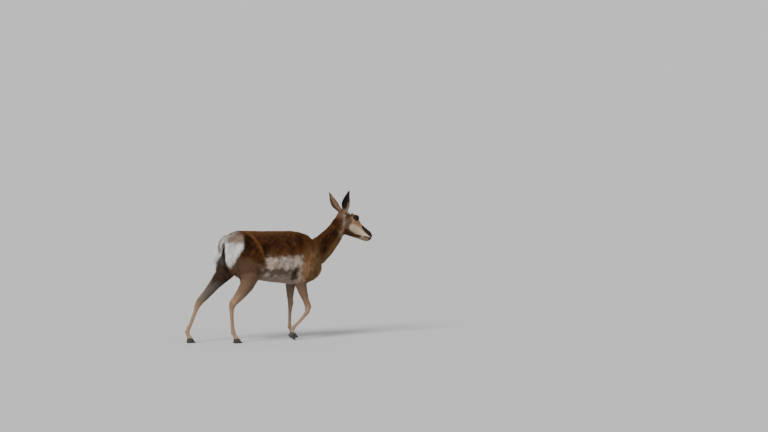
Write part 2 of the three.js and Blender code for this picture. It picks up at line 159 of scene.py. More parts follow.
class MarkingSettings(bpy.types.PropertyGroup):
    # Back is a lighter brown along the top of the back: partly paler hair and partly painted highlight of
    # the light falling on it
    back: colour_setting("Back", "Along the back and withers", (0.148, 0.064, 0.021))
    flank: colour_setting("Flank", "Brown of the sides", (0.105, 0.041, 0.011))
    # Shade is the darkest brown of the coat, and also painted shade: over the haunch, in its hollow and
    # fold, behind the elbow and high inside the hind thighs
    shade: colour_setting("Shade", "Darkest brown, on side, haunch and neck", (0.030, 0.0085, 0.002))
    rust: colour_setting("Rust", "Orange brown along the haunch and throat", (0.175, 0.068, 0.016))
    shoulder: colour_setting("Shoulder", "Sandy brown of the shoulder and chest", (0.310, 0.175, 0.078))
    haunch: colour_setting("Haunch", "Grey brown of the lower haunch", (0.125, 0.072, 0.042))
    gaskin: colour_setting("Gaskin", "Grey tan of the thigh and forearm", (0.203, 0.126, 0.079))
    leg: colour_setting("Leg", "Tan of the lower legs", (0.310, 0.200, 0.122))
    # Shadow grey is painted shade: a dull grey laid inside the legs and on the white underside below the
    # flank, where shadow falls
    smoke: colour_setting("Smoke", "Dull grey inside the legs and under the flank", (0.175, 0.128, 0.092))
    white: colour_setting("White", "Rump", (0.880, 0.860, 0.830))
    cream: colour_setting("Cream", "Duller white of the flank, cheek and throat", (0.480, 0.390, 0.310))
    tan: colour_setting("Tan", "Upper rump and tail", (0.235, 0.156, 0.098))
    face: colour_setting("Face", "Tan of the face", (0.330, 0.190, 0.100))
    grey: colour_setting("Grey", "Grey tan behind the eye and on the ears", (0.150, 0.094, 0.054))
    # Black also paints shade, inside the ears' cups and along the cleft of the rump
    black: colour_setting("Black", "Muzzle, lids, lips and rims of the ears", (0.009, 0.0055, 0.004))


class CoatSettings(bpy.types.PropertyGroup):
    length: distance_setting("Length", "Of a tuft on the side of the body", 0.031)
    width: distance_setting("Width", "Of a tuft on the side of the body", 0.0019)
    clump: distance_setting("Clump", "Distance between the places that tufts lean to", 0.014)
    lean: number_setting("Lean", "How much tufts lean to their clump, as a part of the way", 0.45)
    unrest: angle_setting("Unrest", "Random turn of a tuft", 0.11)
    seed: count_setting("Seed", "Picks the places of the tufts", 7)


class HairSettings(bpy.types.PropertyGroup):
    lashes: count_setting("Lashes", "On each upper lid", 34, 2)
    lash_length: distance_setting("Lash length", "Of the longest lash", 0.0095)
    whiskers: count_setting("Whiskers", "On lips and chin together", 70, 1)
    whisker_length: distance_setting("Whisker length", "Of the longest whisker", 0.016)
    radius: distance_setting("Radius", "Of a hair at its root", 0.00028)
    bend: number_setting("Bend", "How far a hair's tip leans aside, in radii", 5.0)
    unevenness: number_setting("Unevenness", "How much shorter the shortest is, in lengths", 0.45)
    seed: count_setting("Seed", "Picks the whiskers' places", 11)


class StageSettings(bpy.types.PropertyGroup):
    azimuth: angle_setting("Azimuth", "The camera's way round the animal", math.radians(-27))
    elevation: angle_setting("Elevation", "The camera's height above level", math.radians(5))
    lens: number_setting("Lens", "Focal length in millimetres", 300)
    view_width: distance_setting("View width", "Width of the view at the animal", 5.8368)
    aim_right: distance_setting("Aim right", "The aim's place to the right of the origin", 0.7872)
    aim_up: distance_setting("Aim up", "The aim's place above the origin", 0.9382)


# Helpers for numbers


def stepped(low, high, values):
    """0 below low, 1 above high and a smooth rise between."""
    t = np.clip((values - low) / (high - low), 0, 1)
    return t * t * (3 - 2 * t)


def unit(vectors):
    return vectors / np.maximum(np.linalg.norm(vectors, axis=-1, keepdims=True), 1e-12)


def blended(base, new, mask):
    return base + (np.asarray(new) - base) * mask[:, None]


def bump(*terms):
    """A soft spot: each term is a distance and its width."""
    return np.exp(-sum((distance / width) ** 2 for distance, width in terms))


def ripple(points, size, seed, waves=14):
    """A smooth random field of about -1 to 1 whose swells are about size across."""
    random = np.random.default_rng(seed)
    waviness = unit(random.normal(size=(waves, 3))) * (2 * math.pi / size)
    waviness *= random.uniform(0.6, 1.5, (waves, 1))
    start = random.uniform(0, 2 * math.pi, waves)
    return np.sin(points @ waviness.T + start).sum(1) / math.sqrt(2 * waves)


def along_line(points, start, end):
    """Distance of points from a straight line's nearest place, and that place as a fraction."""
    start, end = np.asarray(start, float), np.asarray(end, float)
    line = end - start
    fraction = np.clip((points - start) @ line / max(line @ line, 1e-18), 0, 1)
    return np.linalg.norm(points - start - fraction[:, None] * line, axis=1), fraction


def inside(places, corners):
    """How far places lie inside an outline, as a signed distance."""
    corners = np.asarray(corners, float)
    nearest = np.full(len(places), np.inf)
    within = np.zeros(len(places), bool)
    for start, end in zip(corners, np.roll(corners, -1, axis=0)):
        nearest = np.minimum(nearest, along_line(places, start, end)[0])
        crosses = (start[1] > places[:, 1]) != (end[1] > places[:, 1])
        rise = end[1] - start[1] if end[1] != start[1] else 1e-12
        meets = start[0] + (places[:, 1] - start[1]) / rise * (end[0] - start[0])
        within ^= crosses & (places[:, 0] < meets)
    return np.where(within, nearest, -nearest)


def head_places(points):
    """Forward of the head's pivot, left of the head's own plane, and height."""
    return head_vectors(points - HEAD_PIVOT).T


def head_vectors(vectors):
    """Directions, turned with the head into its own plane."""
    turn = np.array([
        [math.cos(HEAD_YAW), math.sin(HEAD_YAW), 0],
        [-math.sin(HEAD_YAW), math.cos(HEAD_YAW), 0],
        [0, 0, 1],
    ])
    return vectors @ turn.T


def from_head(along, aside, height):
    """A direction or, with the pivot added, a place given in the head's own plane."""
    x = along * math.cos(HEAD_YAW) - aside * math.sin(HEAD_YAW)
    y = along * math.sin(HEAD_YAW) + aside * math.cos(HEAD_YAW)
    return np.array([x, y, height])


def ear_ends(side):
    """An ear's root and tip on the head's own plane."""
    along, aside, height = EAR_ROOT
    return np.array([along, aside * SIDES[side], height]), np.array(EAR_TIPS[side])


# Helpers for meshes


def read(mesh, collection, name, width, kind=np.float32):
    items = getattr(mesh, collection)
    values = np.empty(len(items) * width, kind)
    items.foreach_get(name, values)
    return values.reshape(-1, width) if width > 1 else values


def points_of(mesh):
    return read(mesh, "vertices", "co", 3).astype(float)


def place_points(mesh, points):
    mesh.vertices.foreach_set("co", points.astype(np.float32).ravel())
    mesh.update()


def normals_of(mesh):
    return read(mesh, "vertex_normals", "vector", 3).astype(float)


def triangles_of(mesh):
    mesh.calc_loop_triangles()
    return read(mesh, "loop_triangles", "vertices", 3, np.int32)


class Net:
    """The edges of a mesh, ready for averages over each point's neighbours."""

    def __init__(self, mesh):
        pairs = read(mesh, "edges", "vertices", 2, np.int32)
        start = np.concatenate([pairs[:, 0], pairs[:, 1]])
        end = np.concatenate([pairs[:, 1], pairs[:, 0]])
        order = np.argsort(start, kind="stable")
        self.end = end[order]
        self.count = np.bincount(start, minlength=len(mesh.vertices)).astype(np.float32)[:, None]
        self.first = np.concatenate([[0], np.cumsum(self.count[:-1, 0]).astype(np.int64)])

    def mean(self, values):
        return np.add.reduceat(values[self.end], self.first, axis=0) / self.count

    def smoothed(self, values, rounds, strength=1.0):
        """Values after some rounds of moving towards the mean of the neighbours."""
        flat = values.ndim == 1
        values = np.asarray(values, np.float32).reshape(len(values), -1)
        strength = np.asarray(strength, np.float32).reshape(-1, 1)
        for _ in range(rounds):
            values = values + (self.mean(values) - values) * strength
        return values[:, 0] if flat else values


def linked(name, mesh):
    piece = bpy.data.objects.new(name, mesh)
    bpy.context.scene.collection.objects.link(piece)
    return piece


def applied(piece, *modifiers):
    """The piece's mesh with its modifiers taken up in it."""
    for kind, values in modifiers:
        modifier = piece.modifiers.new(kind.title(), kind)
        for key, value in values.items():
            setattr(modifier, key, value)
    evaluated = piece.evaluated_get(bpy.context.evaluated_depsgraph_get())
    mesh = bpy.data.meshes.new_from_object(evaluated)
    piece.modifiers.clear()
    old = piece.data
    piece.data = mesh
    bpy.data.meshes.remove(old)
    return mesh


def dressed(mesh, name, painter, *values):
    """Shades a mesh smoothly and gives it its material."""
    mesh.shade_smooth()
    mesh.materials.append(material_of(name, painter, *values))


def remeshed(name, swells, voxel):
    """A piece made of the solids of some nodes, cut anew into small even faces, and its mesh."""
    piece = linked(name, joined_nodes(swells))
    return piece, applied(piece, ("REMESH", {"mode": "VOXEL", "voxel_size": voxel}))


def joined_nodes(swells):
    """The closed solids of some nodes in one mesh, each swollen a little so that they overlap."""
    whole = bmesh.new()
    for name, swell in swells.items():
        part = bmesh.new()
        part.from_mesh(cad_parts[name].data)
        bmesh.ops.remove_doubles(part, verts=part.verts, dist=1e-6)
        part.normal_update()
        for vertex in part.verts:
            vertex.co += vertex.normal * swell
        copy = bpy.data.meshes.new("part")
        part.to_mesh(copy)
        part.free()
        whole.from_mesh(copy)
        bpy.data.meshes.remove(copy)
    mesh = bpy.data.meshes.new("joined")
    whole.to_mesh(mesh)
    whole.free()
    return mesh


def mesh_from(name, points, triangles):
    """A mesh of triangles, filled in whole arrays, which is fast."""
    mesh = bpy.data.meshes.new(name)
    mesh.vertices.add(len(points))
    mesh.vertices.foreach_set("co", np.asarray(points, np.float32).ravel())
    mesh.loops.add(len(triangles) * 3)
    mesh.loops.foreach_set("vertex_index", np.asarray(triangles, np.int32).ravel())
    mesh.polygons.add(len(triangles))
    mesh.polygons.foreach_set("loop_start", np.arange(0, len(triangles) * 3, 3, dtype=np.int32))
    mesh.update(calc_edges=True)
    return mesh


FIELD_KINDS = {1: ("FLOAT", "value"), 3: ("FLOAT_VECTOR", "vector"), 4: ("FLOAT_COLOR", "color")}


def write_field(mesh, name, values):
    """Stores a number, vector or colour for every point of the mesh."""
    values = np.asarray(values, np.float32)
    width = 1 if values.ndim == 1 else values.shape[1]
    kind, key = FIELD_KINDS[width]
    mesh.attributes.new(name, kind, "POINT").data.foreach_set(key, values.ravel())


def write_colour(mesh, paint):
    write_field(mesh, "Markings", np.concatenate([paint, np.ones((len(paint), 1))], axis=1))


def read_field(mesh, name):
    """The numbers stored for the points of the mesh."""
    values = np.empty(len(mesh.vertices), np.float32)
    mesh.attributes[name].data.foreach_get("value", values)
    return values.astype(float)


# Where things are


def region_of(node):
    word = node.split("_")[0]
    return next((index for index, region in enumerate(REGIONS.values()) if word in region.words), None)


def flesh_nodes():
    return [name for name in sorted(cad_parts) if region_of(name) is not None]


def nearest_regions(points):
    """The region that each point belongs to, by the nearest solid."""
    corners, faces, owners = [], [], []
    for name in flesh_nodes():
        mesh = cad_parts[name].data
        triangles = triangles_of(mesh) + len(corners)
        corners.extend(map(tuple, points_of(mesh)))
        faces.extend(map(tuple, triangles))
        owners.extend([region_of(name)] * len(triangles))
    tree = BVHTree.FromPolygons(corners, faces)
    owners = np.array(owners)
    return owners[[tree.find_nearest(point)[2] for point in points.tolist()]]


def by_region(kind, weights):
    """One of the numbers in REGIONS for each point."""
    return weights @ np.array([getattr(region, kind) for region in REGIONS.values()], float)


def on(weights, *names):
    """How much each point belongs to some regions."""
    return sum(weights[:, REGION_NAMES.index(name)] for name in names)


def region_weights(points, net, rounds):
    """How much each point belongs to each region, softened over the borders."""
    owners = nearest_regions(points)
    sharp = np.eye(len(REGION_NAMES), dtype=np.float32)[owners]
    return net.smoothed(sharp, rounds)


def leg_side(leg):
    return SIDES[leg.split("_")[1]]


def leg_chain(leg):
    """A leg's joints as places in space."""
    track = (FORE_TRACK if leg.startswith("fore") else HIND_TRACK) * leg_side(leg)
    return [np.array([x, track, z]) for x, z in LEG_JOINTS[leg]]


def eye_frame(side):
    """Centre and radius of an eye, and its own directions: outward, forward along the slit, up."""
    low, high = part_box(f"eye_{side}")
    centre = np.array((low + high) / 2)
    radius = (high.z - low.z) / 2
    out = unit(from_head(0.30, SIDES[side] * 0.94, 0.10))
    ahead = from_head(0.88, 0, -0.42)
    ahead = unit(ahead - out * (ahead @ out))
    up = np.cross(out, ahead) * -SIDES[side]
    return centre, radius, out, ahead, up


# The skin: the solids joined, rounded, modelled and drawn in by the depth of the coat

# How far the solids swell before they are joined. An ear swells more, so that its thin rim stays whole.
SWELL = 0.0005
EAR_SWELL = 0.0013

# Over how many rounds the creases between solids are filled
FILL_ROUNDS = 45
# In how many steps the skin is drawn in, and over how many rounds that depth is evened
DRAW_STEPS = 4
DEPTH_ROUNDS = 20
# Rounds that soften the borders of the regions on the joined, the finer and the thinned skin
JOINED_ROUNDS, FINER_ROUNDS, THINNED_ROUNDS = 12, 30, 14


class Form(NamedTuple):
    """A long soft swelling under the skin, or a hollow where it sinks. Its name is there for the reader."""

    name: str
    start: tuple
    end: tuple
    width: float
    rise: float


# Forms of the trunk and neck, given on the left side and the same on the right
TRUNK_FORMS = (
    Form("back of the shoulder blade", (0.060, 0.090, 0.740), (0.075, 0.120, 0.600), 0.022, -0.005),
    Form("shoulder blade", (0.120, 0.070, 0.770), (0.190, 0.100, 0.640), 0.034, 0.005),
    Form("spine of the shoulder blade", (0.130, 0.060, 0.800), (0.200, 0.100, 0.640), 0.010, 0.002),
    Form("triceps", (0.110, 0.110, 0.600), (0.120, 0.110, 0.540), 0.034, 0.005),
    Form("point of the shoulder", (0.235, 0.085, 0.590), (0.240, 0.080, 0.570), 0.028, 0.005),
    Form("hollow behind the elbow", (0.045, 0.100, 0.520), (0.055, 0.090, 0.480), 0.022, -0.006),
    Form("breast groove", (0.300, 0.0, 0.560), (0.270, 0.0, 0.450), 0.014, -0.006),
    Form("flank hollow", (-0.165, 0.110, 0.730), (-0.150, 0.110, 0.650), 0.034, -0.009),
    Form("hip bone", (-0.225, 0.085, 0.812), (-0.235, 0.095, 0.795), 0.022, 0.006),
    Form("loin groove", (-0.200, 0.050, 0.850), (0.060, 0.045, 0.840), 0.018, -0.0025),
    Form("last rib", (-0.110, 0.120, 0.700), (-0.060, 0.110, 0.560), 0.016, 0.003),
    Form("jugular groove", (0.470, 0.038, 0.770), (0.330, 0.062, 0.590), 0.016, -0.004),
    Form("neck muscle", (0.440, 0.050, 0.800), (0.270, 0.085, 0.640), 0.026, 0.004),
    Form("neck hollow", (0.350, 0.055, 0.760), (0.270, 0.075, 0.720), 0.026, -0.004),
    Form("windpipe", (0.500, 0.0, 0.760), (0.370, 0.0, 0.570), 0.014, 0.003),
)

# Forms of the head in its own plane: along, aside and height, the same on both sides
HEAD_FORMS = (
    Form("masseter", (0.060, 0.048, 0.850), (0.075, 0.044, 0.815), 0.024, 0.0035),
    Form("cheekbone", (0.150, 0.036, 0.862), (0.050, 0.054, 0.876), 0.007, 0.0025),
    Form("brow", (0.096, 0.048, 0.925), (0.146, 0.046, 0.919), 0.007, 0.0018),
    Form("hollow before the eye", (0.162, 0.034, 0.878), (0.176, 0.031, 0.862), 0.010, -0.0030),
    Form("temple", (0.060, 0.054, 0.912), (0.076, 0.056, 0.905), 0.012, -0.0030),
    Form("forehead crest", (0.070, 0.0, 0.935), (0.130, 0.0, 0.905), 0.012, 0.0020),
    Form("forehead hollow", (0.128, 0.020, 0.905), (0.150, 0.018, 0.890), 0.012, -0.0018),
    Form("nose bridge", (0.165, 0.0, 0.862), (0.240, 0.0, 0.802), 0.012, 0.0012),
    Form("side of the nose", (0.180, 0.028, 0.828), (0.235, 0.028, 0.792), 0.012, -0.0022),
    Form("lower jaw", (0.110, 0.040, 0.775), (0.200, 0.028, 0.732), 0.008, 0.0016),
    Form("jaw hollow", (0.120, 0.044, 0.800), (0.180, 0.034, 0.775), 0.010, -0.0022),
    Form("tear duct", (0.150, 0.040, 0.893), (0.168, 0.034, 0.872), 0.0035, -0.0016),
    Form("throat latch", (0.020, 0.046, 0.840), (0.020, 0.030, 0.800), 0.014, -0.0035),
)

# The mouth from its corner to the front of the lips, and the nostril: along and height
MOUTH = ((0.187, 0.7665), (0.215, 0.7585), (0.246, 0.7510), (0.272, 0.7450))
NOSTRIL = (0.2490, 0.7810)
NOSTRIL_LENGTH = 0.0085
NOSTRIL_WIDTH = 0.0042
NOSTRIL_DEPTH = 0.0085


def raised(points, places, forms):
    """How far the named forms lift or sink each place. Places have their sideways part positive."""
    total = np.zeros(len(points))
    for form in forms:
        distance, _ = along_line(places, form.start, form.end)
        total += form.rise * bump((distance, form.width))
    return total


def hind_forms(side, upper, middle):
    """Haunch and gaskin of a hind leg. Side is 1 on the left and -1 on the right."""
    front = upper + (0.105, side * 0.030, 0.0)
    hip = np.array([-0.215, side * 0.105, 0.775])
    rear = (-0.445, side * 0.085, 0.690)
    low = upper + (-0.070, side * 0.030, -0.030)
    ahead = np.array([0.036, 0.0, 0.0])
    heel = middle + (-0.020, 0.0, 0.012)
    calf = upper * 0.45 + middle * 0.55 + (-0.022, side * 0.020, -0.004)
    return [
        Form("front of the haunch", hip, front, 0.018, 0.006),
        Form("fold before the haunch", hip + ahead, front + ahead, 0.017, -0.007),
        Form("back of the haunch", rear, low, 0.020, -0.005),
        Form("hollow before the hamstring", calf, heel + (0.014, side * 0.014, 0.0), 0.011, -0.005),
        Form("gaskin", upper, upper * 0.6 + middle * 0.4, 0.040, 0.004),
    ]


def fore_forms(upper, middle):
    """Forearm and knee of a fore leg."""
    knee = middle + (0.018, 0.0, 0.004)
    return [
        Form("forearm", upper, upper * 0.5 + middle * 0.5, 0.034, 0.003),
        Form("knee", knee, knee, 0.016, 0.0015),
    ]


def leg_forms(points):
    """Haunch, tendons and the bony points of the joints, which follow each leg's own step."""
    total = np.zeros(len(points))
    for leg in LEG_JOINTS:
        _, upper, middle, fetlock, _ = leg_chain(leg)
        hind = leg.startswith("hind")
        forms = hind_forms(leg_side(leg), upper, middle) if hind else fore_forms(upper, middle)
        for aside in (-1, 1):
            groove = np.array([-0.004, aside * 0.014, 0.0])
            start = middle * 0.8 + fetlock * 0.2 + groove
            end = middle * 0.2 + fetlock * 0.8 + groove
            forms.append(Form("tendon groove", start, end, 0.0065, -0.0020))
        total += raised(points, points, forms)
    return total


def mirrored(points):
    """The places with their sideways part positive."""
    return points * (1, 0, 1) + np.abs(points) * (0, 1, 0)


def modelled(points, weights):
    """Muscles, bones and hollows, as a distance along the normals."""
    along, aside, height = head_places(points)
    head = np.stack([along, np.abs(aside), height], axis=1)
    on_head = on(weights, "head")
    body = raised(points, mirrored(points), TRUNK_FORMS) + leg_forms(points)
    return body * (1 - on_head) + raised(points, head, HEAD_FORMS) * on_head


def finer(mesh, zones):
    """Cuts the faces near some places into four, so that small features hold their shape."""
    work = bmesh.new()
    work.from_mesh(mesh)
    for centre, radius in zones:
        centre = Vector(centre)
        edges = {
            edge for face in work.faces
            if (face.calc_center_median() - centre).length < radius
            for edge in face.edges
        }
        bmesh.ops.subdivide_edges(work, edges=list(edges), cuts=1, use_grid_fill=True)
    bmesh.ops.triangulate(work, faces=work.faces)
    work.to_mesh(mesh)
    work.free()


def detail_zones():
    """Centres and radii of the places round the mouth and the eyes that need small faces."""
    zones = [(HEAD_PIVOT + from_head(0.225, 0, 0.765), 0.062)]
    for side in SIDES:
        centre, radius, out, _, _ = eye_frame(side)
        zones.append((centre + out * 0.008, radius + 0.012))
        zones.append((centre + out * 0.012, radius + 0.003))
    return zones


def mouth_distance(along, height):
    """Distance from the line where the lips meet, and how far along it."""
    near = np.full(len(along), np.inf)
    line = np.array(MOUTH)
    for start, end in zip(line, line[1:]):
        near = np.minimum(near, along_line(np.stack([along, height], axis=1), start, end)[0])
    middle = np.interp(along, line[:, 0], line[:, 1])
    return near * np.sign(height - middle), stepped(line[0, 0] - 0.002, line[0, 0] + 0.020, along)


def nostril_places(along, height):
    """How far places lie from a nostril's middle, in units of its size. It is a tilted comma."""
    across = along - NOSTRIL[0]
    rise = height - NOSTRIL[1]
    length = (across * 0.78 - rise * 0.62) / NOSTRIL_LENGTH
    width = (across * 0.62 + rise * 0.78 + 0.10 * np.abs(across)) / NOSTRIL_WIDTH
    width = width + 0.35 * (length ** 2 - 0.4)
    return np.sqrt(length ** 2 + width ** 2)


def muzzle_forms(points, weights):
    """Lips, mouth, nostrils and the groove under the nose, along the normals."""
    along, aside, height = head_places(points)
    gap, open_part = mouth_distance(along, height)
    total = -0.0036 * bump((gap, 0.0013)) * open_part
    total += 0.0016 * bump((gap - 0.0050, 0.0038)) * open_part
    total += 0.0012 * bump((gap + 0.0046, 0.0036)) * open_part
    total += 0.0020 * bump((along - 0.238, 0.014), (height - 0.728, 0.008))
    hole = nostril_places(along, height)
    total += (-NOSTRIL_DEPTH * (1 - stepped(0.45, 1.05, hole)) + 0.0016 * bump((hole - 1.5, 0.4)))
    lip = stepped(0.248, 0.262, along) * stepped(0.0, 0.010, gap)
    total += -0.0014 * bump((aside, 0.0016)) * lip
    return total * on(weights, "head") * stepped(0.17, 0.20, along)


# Of the height of an eye's opening, how much lies above its corners, and the roundness of its edge
UPPER_LID, LOWER_LID = 0.56, 0.44
LID_CURVE, LID_ROUNDING = 1.8, 0.85
# How far past the ball the lids shape the skin, how softly they meet it, and how deep the rest sinks
LID_REACH = 0.016
LID_SOFTNESS = 0.0028
SOCKET_DEPTH = 0.005
# The angle that stands for all places behind the ball
BEHIND = 1.5


def past_lid(way, eye, settings):
    """How far past a lid's edge a way from the ball's middle points, as an angle, and its rise."""
    _, radius, out, ahead, up = eye
    across, rise = (np.arcsin(np.clip(way @ axis, -1, 1)) for axis in (ahead, up))
    half_width = math.asin(settings.opening_width / 2 / radius)
    upper, lower = (math.asin(settings.opening_height * part / radius) for part in (UPPER_LID, LOWER_LID))
    narrow = np.clip(1 - np.abs(across / half_width) ** LID_CURVE, 0, 1) ** LID_ROUNDING
    edge = np.where(rise > 0, upper, lower) * narrow
    past = np.where(np.abs(across) < half_width, np.abs(rise) - edge,
                    np.hypot(np.abs(across) - half_width, rise))
    return np.where(way @ out < 0, BEHIND, past), rise


def eyelids(points, side, settings):
    """Points with lids laid over a ball and the rest sunk behind it, how far past a lid each is, and
    whether it is near the ball."""
    eye = eye_frame(side)
    centre, radius, out, _, _ = eye
    offset = points - centre
    distance = np.linalg.norm(offset, axis=1)
    way = offset / np.maximum(distance, 1e-9)[:, None]
    past, rise = past_lid(way, eye, settings)
    near = distance < radius + LID_REACH
    lid = radius + settings.lid_thickness + settings.socket_rise * stepped(0.12, 0.75, past)
    rim = 0.0005 * bump((past - 0.06, 0.05))
    crease = -0.0011 * bump((past - 0.25, 0.05)) * (rise > 0)
    target = lid + rim + crease
    higher = 0.5 * (distance + target + np.sqrt((distance - target) ** 2 + LID_SOFTNESS ** 2))
    outside = distance + (higher - distance) * stepped(-0.75, -0.35, way @ out)
    opened = 1 - stepped(-0.02, 0.035, past)
    reach = np.where(near, outside + (radius - SOCKET_DEPTH - outside) * opened, distance)
    return centre + way * reach[:, None], past, near


def rounded(mesh, net, points, weights, rounds):
    """Points with the facets smoothed away and the size kept, and with creases between solids filled."""
    strength = by_region("rounding", weights) + 0.5 * ear_root(points, weights)
    smooth = net.smoothed(points, rounds, strength).astype(float)
    place_points(mesh, smooth)
    normals = normals_of(mesh)
    lost = net.smoothed(((points - smooth) * normals).sum(1), rounds, strength)
    points = smooth + normals * lost[:, None]
    place_points(mesh, points)
    filled = net.smoothed(points, FILL_ROUNDS, by_region("fill", weights)).astype(float)
    normals = normals_of(mesh)
    rise = net.smoothed(np.maximum(((filled - points) * normals).sum(1), 0), 6)
    return points + normals * rise[:, None]


def drawn_in(mesh, net, points, depth):
    """Points moved inward by a depth, in a few steps whose ways are smoothed."""
    depth = net.smoothed(depth, DEPTH_ROUNDS)
    for _ in range(DRAW_STEPS):
        step = net.smoothed(normals_of(mesh), 3)
        points = points - unit(step) * (depth / DRAW_STEPS)[:, None]
        place_points(mesh, points)
    return points


def make_skin(settings, eye_settings):
    """Joins, rounds and models the solids of flesh, and draws them in by the depth of the coat."""
    swells = {name: EAR_SWELL if name.startswith("ear") else SWELL for name in flesh_nodes()}
    piece, mesh = remeshed("skin", swells, settings.voxel)
    points, net = points_of(mesh), Net(mesh)
    weights = region_weights(points, net, JOINED_ROUNDS)
    place_points(mesh, rounded(mesh, net, points, weights, settings.rounding))
    finer(mesh, detail_zones())
    points, net = points_of(mesh), Net(mesh)
    weights = region_weights(points, net, FINER_ROUNDS)
    points = net.smoothed(points, 3, on(weights, "head") * 0.5).astype(float)
    place_points(mesh, points)
    points += normals_of(mesh) * modelled(points, weights)[:, None]
    place_points(mesh, points)
    points = drawn_in(mesh, net, points, coat_depth(points, weights))
    points += normals_of(mesh) * muzzle_forms(points, weights)[:, None]
    for side in SIDES:
        points = eyelids(points, side, eye_settings)[0]
    place_points(mesh, points)
    thinned(piece, points, weights, settings.triangles)
    return piece


def ear_root(points, weights):
    """1 on the lowest part of the ears, which runs into the head, and 0 further up."""
    places = np.stack(head_places(points), axis=1)
    low = np.zeros(len(points))
    for side, sign in SIDES.items():
        root, tip = ear_ends(side)
        fraction = (places - root) @ (tip - root) / ((tip - root) @ (tip - root))
        low = np.where(places[:, 1] * sign > 0, stepped(0.30, 0.12, fraction), low)
    return low * on(weights, "ear")


# How much deeper the coat is on the rump, how deep it is on the muzzle, and how deep by the joints of the
# legs as a part of the lower legs' depth
RUMP_DEPTH = 0.008
MUZZLE_DEPTH = 0.0010
JOINT_DEPTH = 1.4


def on_rump(points):
    """1 where the coat is longest, round the rump."""
    return stepped(-0.36, -0.43, points[:, 0]) * stepped(0.52, 0.60, points[:, 2])


def by_joint(points, weights):
    """1 on the upper legs where they near the knee and the hock, and their coat grows short."""
    return stepped(0.52, 0.36, points[:, 2]) * on(weights, "upper_leg")


def coat_depth(points, weights):
    """How far the coat's tips stand out from the skin."""
    muzzle = stepped(0.08, 0.19, head_places(points)[0])
    depth = by_region("depth", weights) + RUMP_DEPTH * on_rump(points) * on(weights, "trunk", "upper_leg")
    joint = REGIONS["lower_leg"].depth * JOINT_DEPTH - REGIONS["upper_leg"].depth
    depth += joint * by_joint(points, weights)
    return depth + (MUZZLE_DEPTH - REGIONS["head"].depth) * on(weights, "head") * muzzle


# What share of the small faces goes in the zones of detail, and how many levels a share has
DETAIL_LOSS = 0.06
THIN_STEPS = 8


def thinned(piece, points, weights, most):
    """Fewer, larger triangles under the long coat, and nearly all of them kept round eyes and mouth."""
    share = 1 - by_region("kept", weights)
    for centre, radius in detail_zones():
        share[np.linalg.norm(points - centre, axis=1) < radius] = DETAIL_LOSS
    group = piece.vertex_groups.new(name="thin")
    levels = np.round(share * THIN_STEPS).astype(int)
    for level in range(1, THIN_STEPS + 1):
        group.add(np.nonzero(levels == level)[0].tolist(), level / THIN_STEPS, "REPLACE")
    ratio = min(1, most / len(triangles_of(piece.data)))
    values = {"ratio": ratio, "vertex_group": "thin", "vertex_group_factor": 1.0}
    applied(piece, ("DECIMATE", {**values, "use_collapse_triangulate": True}))
    piece.vertex_groups.clear()


# Markings, the same on skin and coat


# The white of the flank, on a side view: forward and height
FLANK_WHITE = (
    (-0.165, 0.636), (-0.120, 0.640), (-0.060, 0.632), (0.000, 0.640), (0.060, 0.630), (0.110, 0.644),
    (0.140, 0.630), (0.150, 0.595), (0.128, 0.566), (0.090, 0.560), (0.062, 0.532), (0.030, 0.556),
    (-0.030, 0.562), (-0.110, 0.572), (-0.135, 0.548), (-0.172, 0.565), (-0.186, 0.600),
)
# The pale fur of the rump, on a side view
RUMP_PALE = (
    (-0.346, 0.835), (-0.341, 0.802), (-0.347, 0.762), (-0.357, 0.727), (-0.390, 0.686), (-0.414, 0.652),
    (-0.436, 0.620), (-0.456, 0.592), (-0.520, 0.585), (-0.560, 0.700), (-0.480, 0.860),
)
# The rusty line that edges the haunch, from the croup down, and the haunch behind it, on a side view
HAUNCH_EDGE = ((-0.285, 0.826), (-0.249, 0.778), (-0.213, 0.707), (-0.190, 0.645), (-0.181, 0.591))
HAUNCH = HAUNCH_EDGE + ((-0.205, 0.550), (-0.300, 0.540), (-0.420, 0.600), (-0.360, 0.720), (-0.330, 0.810))
# Where the haunch turns from dark, which is partly painted shade, to grey brown, forward and height
HAUNCH_LOW = ((-0.405, -0.326, -0.283, -0.229, -0.189), (0.650, 0.640, 0.616, 0.596, 0.580))
# Face patches on the head's own plane: along and height
CHEEK_WHITE = (
    (0.076, 0.860), (0.105, 0.860), (0.132, 0.850), (0.156, 0.830), (0.180, 0.808), (0.215, 0.784),
    (0.245, 0.7640), (0.256, 0.7590), (0.256, 0.7540), (0.235, 0.7590), (0.189, 0.7690), (0.150, 0.7800),
    (0.112, 0.796), (0.082, 0.816), (0.072, 0.838),
)
JAW_BROWN = (
    (0.040, 0.830), (0.074, 0.816), (0.110, 0.794), (0.150, 0.779), (0.184, 0.768), (0.160, 0.752),
    (0.130, 0.735), (0.110, 0.700), (0.030, 0.700), (0.020, 0.800),
)
MUZZLE_BLACK = (
    (0.150, 0.900), (0.155, 0.868), (0.182, 0.824), (0.205, 0.792), (0.226, 0.772), (0.246, 0.7590),
    (0.256, 0.7560), (0.290, 0.7560), (0.290, 0.820), (0.200, 0.880),
)
CHIN_CREAM = ((0.150, 0.748), (0.186, 0.763), (0.240, 0.750), (0.275, 0.742), (0.275, 0.680), (0.140, 0.680))

# The darkest and the lightest that a colour may be
DARKEST, LIGHTEST = 0.0015, 0.9


